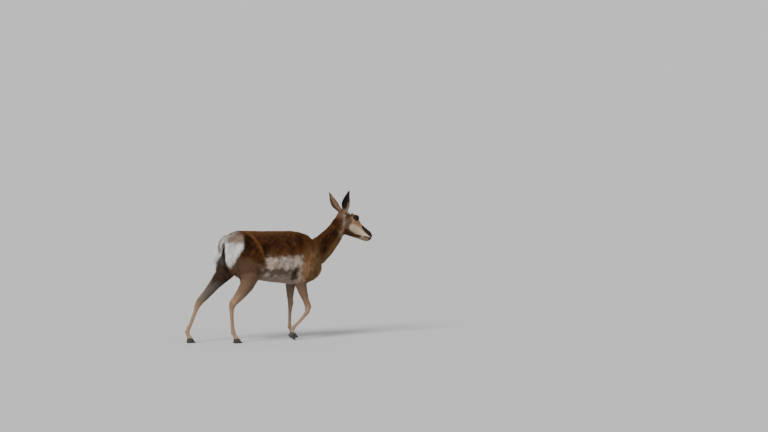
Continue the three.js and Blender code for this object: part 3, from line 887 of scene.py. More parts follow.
class Patch(NamedTuple):
    """Where a place on the animal lies, in the ways that the markings are given, and what paints it."""

    x: np.ndarray
    y: np.ndarray
    z: np.ndarray
    along: np.ndarray
    aside: np.ndarray
    height: np.ndarray
    weights: np.ndarray
    normals: np.ndarray
    rough: np.ndarray
    colours: dict

    def on(self, *names):
        return on(self.weights, *names)

    def swells(self, size, seed, stretch=(1, 1, 1)):
        """Soft random blotches of a size, stretched along an axis if its number is below 1."""
        return ripple(np.stack([self.x, self.y, self.z], axis=1) * stretch, size, seed)

    def plain(self, name, tint=1.0):
        """One tinted colour everywhere."""
        return np.tile(self.colours[name] * tint, (len(self.x), 1))

    def painted(self, paint, *layers):
        """The paint under layers, each a colour's name, a tint of it and how much of it covers."""
        for name, tint, cover in layers:
            paint = blended(paint, self.colours[name] * tint, cover)
        return paint


def within(across, up, corners, soft, ragged=0.0):
    """1 inside an outline and 0 outside, over a soft edge that may be ragged."""
    return stepped(-soft, soft, inside(np.stack([across, up], axis=1), corners) + ragged)


def off_path(places, corners):
    """How far places lie from a line through corners."""
    return np.min([along_line(places, *ends)[0] for ends in zip(corners, corners[1:])], axis=0)


def uneven(base, gain, ripples):
    """A cover of at most 1 that ripples vary."""
    return np.clip(base + gain * ripples, 0, 1)


def over_low_haunch(patch):
    """How far places lie above the line where the haunch turns from dark to grey brown."""
    low = np.interp(patch.x, *HAUNCH_LOW) + 0.012 * patch.swells(0.050, 39) + 0.005 * patch.rough
    return patch.z - low


def side_colours(patch):
    """Back, sides, shoulder and haunch, before the pale patches, with a painted highlight along the top of
    the back and painted shade over the haunch, in the hollow between back and haunch and in the fold before
    it.
    """
    x, z, rough = patch.x, patch.z, patch.rough
    plane = np.stack([x, z], axis=1)
    streak = patch.swells(0.026, 31, (1, 1, 0.45))
    broad = patch.swells(0.110, 32)
    dark = stepped(0.650, 0.720, z + 0.016 * broad) * stepped(0.235, 0.140, x)
    # Painted highlight: the top of the back is lighter, partly from paler hair and partly as painted light
    # falling on the back
    top = stepped(0.785, 0.825, z + 0.008 * broad) * uneven(0.75, 0.3, streak)
    shoulder = stepped(0.120, 0.215, x + 0.010 * broad) * stepped(0.735, 0.635, z + 0.012 * broad)
    patches = patch.swells(0.050, 36) + 0.5 * rough
    base = bump((x - 0.320, 0.055), (z - 0.670, 0.060))
    haunch = within(x, z, HAUNCH, 0.015, 0.005 * rough) * stepped(-0.010, 0.030, over_low_haunch(patch))
    # Painted shade in the hollow between the back and the haunch
    hollow = bump((x + 0.320, 0.040), (z - 0.755, 0.060))
    hollow = np.maximum(hollow, bump((x + 0.275, 0.030), (z - 0.785, 0.030)))
    # Painted shade in the fold before the haunch
    fold = along_line(plane, (-0.165, 0.740), (-0.160, 0.560))[0]
    edge = bump((off_path(plane, HAUNCH_EDGE) + 0.003 * rough, 0.0095)) * uneven(0.75, 0.5, streak)
    return patch.painted(
        patch.plain("flank"),
        ("shade", 1, dark * np.clip(0.60 + 0.42 * streak + 0.25 * broad, 0, 1)),
        # painted highlight along the top of the back
        ("back", 1, 0.85 * top),
        ("shoulder", 1, shoulder * uneven(0.90, 0.42, streak)),
        ("shade", 2.2, 0.70 * shoulder * stepped(0.1, 1.1, patches)),
        ("shade", (1.8, 2.2, 1.5), 0.85 * base),
        ("rust", 1, 0.40 * haunch),
        # painted shade: the haunch's dark brown is partly its hair and partly shade
        ("shade", 1, haunch * uneven(0.66, 0.40, streak)),
        # painted shade, darkest in the hollow between back and haunch
        ("shade", 0.4, 0.94 * haunch * hollow),
        # painted shade in the fold before the haunch
        ("shade", 0.8, 0.75 * bump((fold, 0.020))),
        ("rust", (1.7, 1.8, 2.4), 0.76 * edge * stepped(0.585, 0.640, z)),
    )


def under_colours(patch, paint):
    """The creamy patch of the flank, and below it painted shade of dull grey over the white underside,
    mottled with cream, with painted shadow behind the elbow.
    """
    x, z, rough = patch.x, patch.z, patch.rough
    mottle = patch.swells(0.055, 34)
    blotch = patch.swells(0.030, 35, (1, 1, 0.7))
    strand = patch.swells(0.013, 30, (1, 1, 0.35))
    under = stepped(0.590, 0.535, z + 0.012 * rough) * stepped(0.175, 0.120, x + 0.01 * rough)
    under *= stepped(-0.235, -0.185, x)
    fade = 0.013 + 0.013 * stepped(0.600, 0.640, z)
    flank = within(x, z, FLANK_WHITE, fade, 0.012 * rough + 0.008 * mottle + 0.009 * strand)
    belly = stepped(-0.35, -0.85, patch.normals[:, 2]) * stepped(0.500, 0.465, z)
    wide = np.interp(z, (0.470, 0.500, 0.550), (0.030, 0.027, 0.013)) + 0.004 * rough
    # Painted shadow in the gap behind the elbow, between the fore leg and the chest
    elbow_shadow = bump((x - 0.078, wide)) * stepped(0.565, 0.545, z) * stepped(0.440, 0.470, z)
    return patch.painted(
        paint,
        # Painted shade: the white underside below the flank's patch is laid with dull grey, then mottled
        # with cream
        ("smoke", 1, 0.92 * under),
        ("cream", 1, 0.60 * under * stepped(-0.3, 0.7, mottle)),
        ("cream", 1.1, 0.75 * under * stepped(0.515, 0.480, z) * stepped(-0.8, 0.3, blotch)),
        ("cream", 1, 0.92 * flank),
        ("smoke", 1, 0.45 * flank * bump((x + 0.050, 0.038), (z - 0.595, 0.030))),
        ("white", 1, 0.30 * flank * stepped(-0.5, 1.0, blotch + 0.5 * rough)),
        ("haunch", 1, 0.35 * flank * stepped(-0.1, -1.0, patch.swells(0.016, 38))),
        ("cream", 1.5, 0.95 * bump((x + 0.158, 0.020), (z - 0.504, 0.018))),
        ("cream", 1, 0.8 * belly * stepped(0.28, 0.20, x)),
        # painted shadow behind the elbow
        ("shade", (1.3, 2.6, 6.0), 0.85 * elbow_shadow * stepped(0.05, 0.08, np.abs(patch.y))),
    )


def body_colours(patch):
    """Trunk, haunch and tail."""
    x, z, rough = patch.x, patch.z, patch.rough
    low = stepped(0.022, -0.022, over_low_haunch(patch)) * stepped(-0.165, -0.195, x)
    paint = under_colours(patch, patch.painted(side_colours(patch), ("haunch", 1, 0.95 * low)))
    chest = stepped(0.610, 0.540, z + 0.010 * rough) * stepped(0.100, 0.160, x)
    mottle = patch.swells(0.034, 37) + 0.5 * rough
    breast = stepped(0.255, 0.300, x) * stepped(0.045, 0.020, np.abs(patch.y)) * stepped(0.600, 0.550, z)
    paint = patch.painted(
        paint,
        ("shoulder", 1.1, 0.7 * chest),
        ("cream", 0.8, 0.50 * chest * stepped(0.0, -0.9, mottle) * stepped(0.27, 0.22, x)),
        ("shade", 2, 0.62 * chest * stepped(0.1, 0.9, mottle)),
        ("cream", 1, 0.75 * breast),
    )
    return rump_colours(patch, paint)


def rump_colours(patch, paint):
    """The white rump, with tan above it, the tail, and painted shadow in the cleft between the buttocks and
    the thighs.
    """
    x, y, z, rough = patch.x, np.abs(patch.y), patch.z, patch.rough
    upper = stepped(0.738, 0.775, z + 0.010 * rough + 0.10 * (x + 0.42))
    upper *= stepped(-0.490, -0.462, x + 0.35 * (z - 0.78)) * stepped(0.014, 0.034, y)
    fur = patch.painted(
        patch.plain("white"),
        ("tan", 1, 0.90 * upper),
        ("flank", 1, 0.55 * stepped(0.800, 0.825, z) * stepped(-0.41, -0.36, x)),
    )
    paint = blended(paint, fur, within(x, z, RUMP_PALE, 0.010, 0.007 * rough))
    croup = stepped(0.026, 0.010, y) * stepped(-0.25, -0.33, x)
    croup = croup * stepped(-0.445, -0.415, x) * stepped(0.79, 0.82, z)
    rear = stepped(-0.40, -0.44, x) * (1 - patch.on("tail"))
    # Painted shadow in the cleft between the buttocks, wider down between the thighs, with a black line of
    # deepest shadow along its middle
    half = np.interp(z, (0.575, 0.615, 0.655, 0.705), (0.084, 0.070, 0.045, 0.018))
    line = rear * stepped(0.020, 0.008, y) * stepped(0.745, 0.715, z)
    paint = patch.painted(
        paint,
        ("shade", 1, 0.85 * croup),
        # painted shadow in the cleft between the thighs
        ("haunch", 0.45, 0.92 * rear * stepped(half + 0.008, half - 0.008, y)),
        # painted shadow: black line down the middle of the cleft
        ("black", 1.5, 0.90 * line),
    )
    tail = patch.painted(patch.plain("tan"), ("white", 1, 0.6 * stepped(0.008, 0.020, y)))
    return blended(paint, tail, 0.9 * patch.on("tail"))


def neck_colours(patch):
    """Rusty sides with a dark middle, a nape and a throat with a pale band."""
    x, z, rough = patch.x, patch.z, patch.rough
    # How far down the neck a place is, from the poll, and how far it lies to the throat's side
    down = (x - 0.500) * -0.66 + (z - 0.900) * -0.75
    front = (x - 0.500) * 0.75 + (z - 0.900) * -0.66
    streak = patch.swells(0.030, 41)
    blotch = patch.swells(0.060, 43, (1, 1, 0.6))
    middle = bump((front - 0.008, 0.040)) * stepped(0.050, 0.110, down)
    band = along_line(np.stack([x, z], axis=1), (0.484, 0.806), (0.510, 0.726))[0]
    mark = bump((down - 0.128, 0.016)) * stepped(0.060, 0.082, front)
    return patch.painted(
        patch.plain("rust", 0.80),
        ("shade", 1, 0.74 * stepped(-0.6, 0.7, streak + blotch)),
        ("shade", 0.6, middle * uneven(0.88, 0.30, streak)),
        ("back", 0.6, 0.7 * stepped(-0.030, -0.058, front + 0.005 * rough)),
        ("shoulder", 0.85, 0.80 * stepped(0.044, 0.074, front + 0.005 * rough)),
        ("cream", (0.62, 0.57, 0.50), 0.75 * bump((band + 0.003 * rough, 0.014))),
        ("shade", 1, 0.35 * mark),
    )


def face_colours(patch):
    """Tan of the face, grey behind the eye, brown jaw, white cheek and a pale stripe below the ear."""
    along, aside, height = patch.along, np.abs(patch.aside), patch.height
    fine = 0.0016 * patch.rough + 0.0014 * patch.swells(0.005, 42)
    behind = stepped(0.104, 0.080, along + fine) * stepped(0.800, 0.850, height)
    top = stepped(0.885, 0.915, height + fine) * stepped(0.165, 0.125, along)
    throat = stepped(0.815, 0.785, height) * stepped(0.060, 0.020, along)
    wide = np.interp(height, (0.84, 0.90), (0.0085, 0.0125))
    stripe = bump((along - 0.028 - 0.10 * (height - 0.88) + fine, wide)) * stepped(0.815, 0.870, height)
    jaw = within(along, height, JAW_BROWN, 0.006, fine) * stepped(0.010, 0.022, aside)
    spot = bump((along - 0.052, 0.016), (aside - 0.050, 0.030), (height - 0.818, 0.020))
    gap, open_part = mouth_distance(along, height)
    soft = np.interp(along, (0.095, 0.150), (0.0120, 0.0045))
    cheek = within(along, height, CHEEK_WHITE, soft, 2 * fine) * stepped(0.012, 0.020, aside)
    lip = stepped(0.226, 0.242, along) * stepped(0.0, 0.002, gap) * stepped(0.77, 0.76, height)
    paint = patch.painted(
        patch.plain("face"),
        ("grey", (0.52, 0.49, 0.45), 0.92 * behind),
        ("rust", (0.42, 0.50, 0.8), 0.82 * stepped(0.018, -0.004, along + fine)),
        ("flank", (0.90, 1.15, 1.9), 0.85 * top * stepped(0.058, 0.038, aside)),
        ("cream", 0.8, 0.7 * throat),
        ("cream", 0.7, 0.66 * stripe * stepped(0.950, 0.930, height)),
        ("shade", 1.5, 0.92 * jaw),
        ("shade", 1, 0.80 * spot),
        ("cream", (0.50, 0.47, 0.40), 0.9 * within(along, height, CHIN_CREAM, 0.006, fine)),
        ("cream", (1.12, 1.10, 1.04), 0.95 * np.maximum(cheek, lip)),
    )
    return muzzle_colours(patch, paint, fine, gap, open_part)


def muzzle_colours(patch, paint, fine, gap, open_part):
    """Black of the bridge, which widens to the nose, and of the lips."""
    along, aside, height = patch.along, np.abs(patch.aside), patch.height
    half = np.interp(along, (0.140, 0.160, 0.176, 0.190), (0.003, 0.013, 0.024, 0.060))
    band = stepped(half + 0.004, half - 0.004, aside + fine) * stepped(0.140, 0.170, along + fine)
    band *= within(along, height, MUZZLE_BLACK, 0.0030, fine)
    lip = np.clip(1.4 * bump((along - 0.250, 0.017), (gap + 0.008, 0.0105)), 0, 1)
    return patch.painted(
        paint,
        ("shade", 1.3, 0.92 * band * stepped(0.215, 0.180, along)),
        ("black", 1, 0.97 * band * stepped(0.165, 0.190, along)),
        ("black", 1, 0.93 * bump((gap, 0.0032)) * open_part),
        ("black", 1, 0.80 * bump((along - 0.206, 0.015), (gap + 0.004, 0.0050))),
        ("black", 1, 0.97 * lip * stepped(0.001, -0.001, gap)),
    )


def ear_side(patch, side):
    """0 to 1 from an ear's root to its tip, how far to its front edge, and 1 inside the cup."""
    root, tip = ear_ends(side)
    places = np.stack([patch.along, patch.aside, patch.height], axis=1)
    line = unit(tip - root)
    back = np.array([0.42, -SIDES[side], 0.0])
    back = unit(back - line * (line @ back))
    length = np.linalg.norm(tip - root)
    fraction = (places - root) @ line / length
    half = np.interp(fraction, (0, 0.2, 0.4, 0.62, 0.84, 1), (0.020, 0.026, 0.033, 0.027, 0.016, 0.004))
    ahead = (places - root) @ np.cross(line, back) * SIDES[side] / half
    facing = head_vectors(patch.normals) @ back
    return fraction, ahead, stepped(0.10, -0.35, facing)


def ear_colours(patch):
    """A grey back with a dark edge, and a cup laid with black as painted shade of its hollow, but for a grey
    strip along its rear.
    """
    paint = patch.plain("grey")
    for side, sign in SIDES.items():
        fraction, ahead, inner = ear_side(patch, side)
        outer = patch.painted(
            patch.plain("grey", (0.88, 0.84, 0.80)),
            ("flank", (0.85, 1.10, 1.8), 0.7 * stepped(0.28, 0.02, fraction + 0.02 * patch.rough)),
            ("shade", 1, 0.85 * stepped(-0.62, -1.0, ahead + 0.08 * patch.rough)),
        )
        strip = 0.15 + 0.85 * stepped(0.42, 0.66, fraction)
        # Painted shade: the hollow of the cup is painted black
        dark = stepped(strip + 0.2, strip - 0.2, ahead + 0.06 * patch.rough) * stepped(0.08, 0.24, fraction)
        cup = patch.painted(patch.plain("grey", (0.95, 1.0, 1.1)), ("black", 1, 0.96 * dark))
        tip = 0.9 * stepped(0.80, 0.93, fraction + 0.02 * patch.rough)
        ear = patch.painted(blended(outer, cup, inner), ("black", 1.4, tip))
        paint = np.where((patch.aside * sign > 0)[:, None], ear, paint)
    return paint


def facing_in(patch):
    """1 on the inner side of each leg."""
    most = np.zeros(len(patch.x))
    for leg in LEG_JOINTS:
        track = leg_chain(leg)[0][1]
        same_end = (patch.x < LEG_SPLIT) == leg.startswith("hind")
        mine = stepped(0.055, 0.035, np.abs(patch.y - track)) * same_end
        most = np.maximum(most, mine * stepped(-0.1, 0.6, patch.normals[:, 1] * -np.sign(track)))
    return most


def leg_colours(patch):
    """Tan legs with greyer thighs and forearms, and painted shade on the inner side of each leg, darkest
    high inside the hind thighs.
    """
    x, z, rough = patch.x, patch.z, patch.rough
    hind = x < LEG_SPLIT
    upper = z - np.where(hind, 0.300, 0.250) + 0.010 * rough
    paint = patch.plain("leg") * (1 + 0.10 * patch.swells(0.09, 51)[:, None])
    paint = patch.painted(paint, ("gaskin", 1, stepped(0.0, 0.100, upper)))
    faces_in = facing_in(patch)
    # Painted shade: the inner side of each leg is laid with dull grey, darker and more neutral on the hind
    # legs
    inner = patch.colours["smoke"] * np.where(hind[:, None], (0.66, 0.76, 0.88), (1.45, 1.45, 1.45))
    high = np.where(hind, stepped(0.27, 0.36, z), stepped(0.08, 0.20, z))
    paint = blended(paint, inner, 0.85 * faces_in * high)
    shin = stepped(0.35, 0.9, patch.normals[:, 0]) * stepped(0.300, 0.240, z) * (x > LEG_SPLIT)
    return patch.painted(
        paint,
        # painted shadow high inside the hind thighs, under the body
        ("shade", 1, 0.93 * faces_in * hind * stepped(0.400, 0.510, z + 0.010 * rough)),
        ("rust", 1.2, 0.5 * shin),
        ("cream", 1, 0.30 * stepped(0.105, 0.060, z)),
    )


# Half the width and height of the black ring of an eye, and how far back its middle lies
EYE_RING = (0.0305, 0.0220)
EYE_RING_BACK = 0.0055


def eye_ring(points, paint, colours):
    """Black lids and a black ring of short hair round them."""
    for side in SIDES:
        centre, _, out, ahead, up = eye_frame(side)
        offset = points - centre
        reach = np.hypot((offset @ ahead + EYE_RING_BACK) / EYE_RING[0], offset @ up / EYE_RING[1])
        ring = stepped(1.12, 0.90, reach) * stepped(-0.004, 0.004, offset @ out)
        paint = blended(paint, colours["black"], 0.98 * ring * (np.linalg.norm(offset, axis=1) < 0.05))
    return paint


def markings(points, normals, weights):
    """The colour of the coat at each place."""
    rough = ripple(points, 0.013, 21) + 0.6 * ripple(points, 0.032, 22)
    patch = Patch(*points.T, *head_places(points), weights, normals, rough, palette())
    share = np.where(patch.x > LEG_SPLIT, stepped(0.480, 0.540, patch.z), stepped(0.520, 0.600, patch.z))
    share = np.maximum(share, stepped(0.3, 0.8, patch.on("trunk", "tail")))
    torso = blended(leg_colours(patch), body_colours(patch), share)
    paint = torso * patch.on("trunk", "tail", "upper_leg", "lower_leg")[:, None]
    for region, painter in (("neck", neck_colours), ("head", face_colours), ("ear", ear_colours)):
        paint += painter(patch) * patch.on(region)[:, None]
    return np.clip(eye_ring(points, paint, patch.colours), DARKEST, LIGHTEST)


def palette():
    """The colours of the markings by their names."""
    settings = bpy.context.scene.pronghorn_markings
    return {name: np.array(getattr(settings, name)) for name in MarkingSettings.__annotations__}


# The lie of the coat

# The way the hair lies on the neck and on the tail
NECK_FLOW = (-0.62, 0.0, -0.78)
TAIL_FLOW = (-0.25, 0.0, -1.0)


def trunk_flow(x, y, z):
    """Back along the sides, steeper at the shoulder, and down and outward over the rump."""
    steep = 0.22 + 0.75 * stepped(0.06, 0.20, x) * stepped(0.80, 0.66, z)
    steep = steep * stepped(0.845, 0.78, z)
    trunk = np.stack([-np.ones_like(x), 0 * x, -steep], axis=1)
    side = np.sign(y) * stepped(0.0, 0.03, np.abs(y))
    rump = np.stack([-0.35 + 0 * x, 0.40 * side, -np.ones_like(x)], axis=1)
    return blended(trunk, rump, stepped(-0.33, -0.43, x))


def head_flow(x, z):
    """Up from the muzzle, and straight back over the cheek."""
    muzzle = np.tile(from_head(-0.80, 0, 0.60), (len(x), 1))
    return blended(muzzle, from_head(-0.97, 0, 0.05), stepped(0.86, 0.80, z + (x - 0.60) * 0.5))


def ear_flow(points):
    """From an ear's root to its tip."""
    flow = np.zeros_like(points)
    for name, sign in SIDES.items():
        root, tip = ear_ends(name)
        flow[points[:, 1] * sign > 0] = unit(from_head(*(tip - root)))
    return flow


def lie_of_coat(points, normals, weights):
    """The way the hair lies at each place, along the skin from root to tip."""
    x, y, z = points.T
    # In the order of the regions, where the last two are the legs
    ways = (trunk_flow(x, y, z), NECK_FLOW, head_flow(x, z), ear_flow(points), TAIL_FLOW)
    flow = sum(way * weights[:, [index]] for index, way in enumerate(ways))
    flow += leg_flow(points) * weights[:, len(ways):].sum(1, keepdims=True)
    flow -= normals * (flow * normals).sum(1, keepdims=True)
    return unit(flow)


def leg_flow(points):
    """Down the nearest leg, turning softly from one length of it to the next."""
    total = np.zeros_like(points)
    for leg in LEG_JOINTS:
        chain = leg_chain(leg)
        for start, end in zip(chain, chain[1:]):
            distance, _ = along_line(points, start, end)
            total += unit(end - start) / ((distance[:, None] + 0.01) ** 6)
    return unit(total)


# Tufts

# Pieces of coat: the regions of each, where it starts and ends along the body, and its side or 0 for both
COAT_PIECES = {
    "coat_body_left": (("trunk",), RUMP_SPLIT, FRONT_END, 1),
    "coat_body_right": (("trunk",), RUMP_SPLIT, FRONT_END, -1),
    "coat_rump": (("trunk", "tail"), BACK_END, RUMP_SPLIT, 0),
    "coat_neck": (("neck",), BACK_END, FRONT_END, 0),
    "coat_head": (("head", "ear"), BACK_END, FRONT_END, 0),
    "coat_fore_legs": (("upper_leg", "lower_leg"), LEG_SPLIT, FRONT_END, 0),
    "coat_hind_left": (("upper_leg", "lower_leg"), BACK_END, LEG_SPLIT, 1),
    "coat_hind_right": (("upper_leg", "lower_leg"), BACK_END, LEG_SPLIT, -1),
}

# How high a blade's ridge is as a part of its width, in long and in short hair
RIDGE = 0.34
SHORT_RIDGE = 0.16

# Pieces that look finer with flat faces, and those whose long tufts need one more ring
FLAT_COATS = ("coat_head",)
LONG_COATS = ("coat_rump",)

# How much longer tufts are on the rump and how much shorter by the joints of the legs
RUMP_GAIN = 0.75
JOINT_LOSS = 0.46

# How deep roots stand in the skin, how little a tip rises, and how large a tuft's patch on the map is
ROOT_DEPTH = 0.0006
LEAST_RISE = 0.0006
PATCH = 0.003

# Roots tried for each space, and the side of the cells that keep one root each, in spaces
ROOT_TRIES = 2.6
ROOT_CELL = 1.12


def scattered(points, triangles, spacing, random):
    """Roots spread evenly over the triangles: the triangle of each and its place on it."""
    a, b, c = (points[triangles[:, k]] for k in range(3))
    area = np.linalg.norm(np.cross(b - a, c - a), axis=1) / 2
    space = spacing[triangles].mean(1)
    wanted = area / space ** 2 * ROOT_TRIES
    count = np.floor(wanted + random.random(len(wanted))).astype(int)
    owner = np.repeat(np.arange(len(triangles)), count)
    u, v = random.random(len(owner)), random.random(len(owner))
    flip = u + v > 1
    u, v = np.where(flip, 1 - u, u), np.where(flip, 1 - v, v)
    shares = np.stack([1 - u - v, u, v], axis=1)
    places = (points[triangles[owner]] * shares[:, :, None]).sum(1)
    cell = np.floor(places / (space[owner, None] * ROOT_CELL)).astype(np.int64)
    # Far cells may share a key, which costs a root here and there
    key = (cell[:, 0] * 73856093) ^ (cell[:, 1] * 19349663) ^ (cell[:, 2] * 83492791)
    _, kept = np.unique(key, return_index=True)
    return owner[kept], shares[kept]


def clump_pull(roots, normals, size):
    """From each root towards the middle of its clump, along the skin, and the number of the clump."""
    bends = np.stack([ripple(roots, size * 2.5, seed) for seed in (61, 62, 63)], axis=1)
    cell = np.floor((roots + 0.35 * size * bends) / size).astype(np.int64)
    cell -= cell.min(0)
    _, rows, layers = cell.max(0) + 1
    _, clump = np.unique((cell[:, 0] * rows + cell[:, 1]) * layers + cell[:, 2], return_inverse=True)
    clump = clump.ravel()
    count = np.bincount(clump)
    middle = np.stack([np.bincount(clump, roots[:, k]) / count for k in range(3)], axis=1)
    pull = middle[clump] - roots
    return pull - normals * (pull * normals).sum(1, keepdims=True), clump


# How far along a blade its rings stand and how wide they are, for blades of two and of three rings
RINGS = {2: ((0.0, 0.75), (0.48, 1.0)), 3: ((0.0, 0.7), (0.34, 1.0), (0.70, 0.66))}


class Roots(NamedTuple):
    """Where the tufts of a piece stand, with the skin's own fields there."""

    places: np.ndarray
    normals: np.ndarray
    weights: np.ndarray
    depth: np.ndarray


class Tufts(NamedTuple):
    """How each tuft lies, how far it leans to its clump, and its size."""

    flow: np.ndarray
    pull: np.ndarray
    length: np.ndarray
    width: np.ndarray
    rise: np.ndarray
    ridge: np.ndarray


def tuft_points(roots, tufts, rings):
    """Corners of thin bent blades, each a few three-sided rings and a tip."""
    across = unit(np.cross(roots.normals, tufts.flow))
    corners = []
    for t, share in RINGS[rings]:
        centre = tuft_middle(roots, tufts, t)
        half = across * (tufts.width * share / 2)[:, None]
        ridge = roots.normals * (tufts.width * share * tufts.ridge)[:, None]
        corners += [centre - half, centre + half, centre + ridge]
    return np.stack([*corners, tuft_middle(roots, tufts, 1.0)], axis=1)


def tuft_middle(roots, tufts, t):
    """The middle line of each blade, from 0 at its root to 1 at its tip."""
    centre = roots.places + tufts.flow * (tufts.length * t)[:, None] + tufts.pull * t ** 1.5
    return centre + roots.normals * (tufts.rise * (1 - (1 - t) ** 1.8) - ROOT_DEPTH)[:, None]


def tuft_faces(count, rings):
    """The closed surface of every blade: a root cap, bands between rings and a tip."""
    faces = [(0, 2, 1)]
    for ring in range(rings - 1):
        low, high = ring * 3, ring * 3 + 3
        for i, j in ((0, 1), (1, 2), (2, 0)):
            faces += [(low + i, low + j, high + j), (low + i, high + j, high + i)]
    last, tip = rings * 3 - 3, rings * 3
    faces += [(last + i, last + j, tip) for i, j in ((0, 1), (1, 2), (2, 0))]
    start = np.arange(count) * (tip + 1)
    return (start[:, None, None] + np.array(faces)).reshape(-1, 3)


def limb_of(points, names):
    """The nearest axis among those of some regions, and how far along and round it each place lies."""
    best = np.full(len(points), np.inf)
    strip, along, turn = (np.zeros(len(points), kind) for kind in (int, float, float))
    axes = []
    for name in names:
        axes += LIMBS[name]() if callable(LIMBS[name]) else LIMBS[name]
    for index, (start, end) in enumerate(axes):
        start, end = np.asarray(start, float), np.asarray(end, float)
        distance, fraction = along_line(points, start, end)
        line = unit(end - start)
        first = unit(np.cross(line, (0.0, 1.0, 0.001)))
        offset = points - start
        angle = np.arctan2(offset @ np.cross(line, first), offset @ first) / (2 * math.pi) + 0.5
        closer = distance < best
        best = np.where(closer, distance, best)
        strip = np.where(closer, index, strip)
        along = np.where(closer, fraction, along)
        turn = np.where(closer, angle, turn)
    return strip, along, turn


def ear_axes():
    return [tuple(HEAD_PIVOT + from_head(*end) for end in ear_ends(side)) for side in SIDES]


def leg_axes():
    return [pair for leg in LEG_JOINTS for pair in zip(leg_chain(leg), leg_chain(leg)[1:])]


# Axes of each region, from start to end. The lower legs share those of the upper legs.
LIMBS = {
    "trunk": [((-0.48, 0, 0.66), (0.33, 0, 0.60))],
    "tail": [((-0.46, 0, 0.80), (-0.51, 0, 0.70))],
    "neck": [((0.26, 0, 0.64), (0.51, 0, 0.90))],
    "head": [((0.45, 0, 0.90), (0.75, -0.03, 0.76))],
    "ear": ear_axes,
    "upper_leg": leg_axes,
    "lower_leg": [],
}


def bake_places(roots, names):
    """The roots' places on an unwrap of the skin, with a strip of the square for each limb."""
    strip, along, turn = limb_of(roots, names)
    used = np.unique(strip)
    row = np.searchsorted(used, strip)
    margin = PATCH * 2
    u = margin + turn * (1 - 2 * margin)
    v = (row + 0.02 + along * 0.96) / len(used)
    return np.stack([u, margin + v * (1 - 2 * margin)], axis=1)


def coat_roots(name, mesh, random):
    """Roots over the part of the skin that a piece of coat covers, with none where it is bare."""
    points, triangles = points_of(mesh), triangles_of(mesh)
    weights = np.stack([read_field(mesh, f"region_{region}") for region in REGION_NAMES], axis=1)
    regions, start, end, side = COAT_PIECES[name]
    home = weights.argmax(1)[triangles[:, 0]]
    x, y, _ = points[triangles].mean(1).T
    mine = np.isin(home, [REGION_NAMES.index(region) for region in regions]) & (x > start) & (x <= end)
    triangles = triangles[mine & ((side == 0) | ((y >= 0) == (side > 0)))]
    owner, shares = scattered(points, triangles, by_region("spacing", weights), random)

    def at_root(values):
        return (values[triangles[owner]] * shares.reshape(len(shares), 3, *[1] * (values.ndim - 1))).sum(1)

    clothed = random.random(len(owner)) > at_root(read_field(mesh, "bare")) * 1.6
    owner, shares = owner[clothed], shares[clothed]
    normals = unit(at_root(normals_of(mesh)))
    return Roots(at_root(points), normals, at_root(weights), at_root(read_field(mesh, "coat_depth")))


def unruly_flow(roots, unrest, random):
    """The lie of the coat, turned a little from tuft to tuft and in broad swirls."""
    flow = lie_of_coat(roots.places, roots.normals, roots.weights)
    across = np.cross(roots.normals, flow)
    swirl = 0.14 * ripple(roots.places, 0.09, 71) + random.normal(0, unrest, len(flow))
    return unit(flow + across * np.tan(np.clip(swirl, -0.7, 0.7))[:, None])


def grown_tufts(roots, settings, random):
    """Random sizes and ways of the tufts on their roots, and the clump of each."""
    count = len(roots.places)
    length = settings.length * by_region("length", roots.weights)
    width = settings.width * by_region("width", roots.weights)
    length *= 1 + RUMP_GAIN * on_rump(roots.places) * on(roots.weights, "trunk", "upper_leg")
    length *= 1 - JOINT_LOSS * by_joint(roots.places, roots.weights)
    length *= random.uniform(0.75, 1.2, count)
    width *= random.uniform(0.75, 1.25, count)
    flow = unruly_flow(roots, settings.unrest, random)
    size = settings.clump * np.clip(np.median(length) / settings.length, 0.25, 1.2)
    pull, clump = clump_pull(roots.places, roots.normals, size)
    rise = np.maximum(roots.depth * random.uniform(0.78, 1.0, count), LEAST_RISE)
    ridge = RIDGE + (SHORT_RIDGE - RIDGE) * by_region("short", roots.weights)
    return Tufts(flow, pull * settings.lean, length, width, np.minimum(rise, 0.6 * length), ridge), clump


def make_coat(name, settings):
    """One piece of the coat, grown on the part of the skin that is its own."""
    skin = bpy.data.objects.get("skin")
    if skin is None:
        raise RuntimeError("the coat grows on the skin, which isn't there")
    random = np.random.default_rng(settings.seed + list(COAT_PIECES).index(name))
    roots = coat_roots(name, skin.data, random)
    tufts, clump = grown_tufts(roots, settings, random)
    rings = 3 if name in LONG_COATS else 2
    corners = tuft_points(roots, tufts, rings)
    mesh = mesh_from(name, corners.reshape(-1, 3), tuft_faces(len(corners), rings))
    paint_tufts(mesh, roots, tufts, clump, rings * 3 + 1, random)
    map_tufts(mesh, roots.places, COAT_PIECES[name][0], rings * 3 + 1)
    dressed(mesh, "coat_hair", coat_look)
    if name in FLAT_COATS:
        mesh.shade_flat()
    return linked(name, mesh)


def paint_tufts(mesh, roots, tufts, clump, per_tuft, random):
    """Each tuft has the marking at its middle, a little lighter or darker, with painted shade darkening it
    towards the root, and paler at the tip.
    """
    middles = roots.places + tufts.flow * (0.5 * tufts.length)[:, None]
    middles = middles + roots.normals * (0.5 * tufts.rise)[:, None]
    paint = markings(middles, roots.normals, roots.weights)
    short = by_region("short", roots.weights)
    tone = random.normal(0, 0.09, len(middles)) + 0.07 * random.normal(0, 1, clump.max() + 1)[clump]
    tone *= 1 - 0.55 * short
    paint = paint * np.exp(tone)[:, None]
    along = np.linspace(0, 1, per_tuft)
    # Painted shade: each tuft darkens towards its root, where the coat shades itself, less so in short hair
    dark = 0.22 * (1 - 0.85 * short)
    fade = 1 - dark[:, None] * (1 - along) + 0.10 * along
    colour = paint[:, None, :] * fade[:, :, None]
    write_colour(mesh, np.clip(colour, DARKEST, LIGHTEST).reshape(-1, 3))


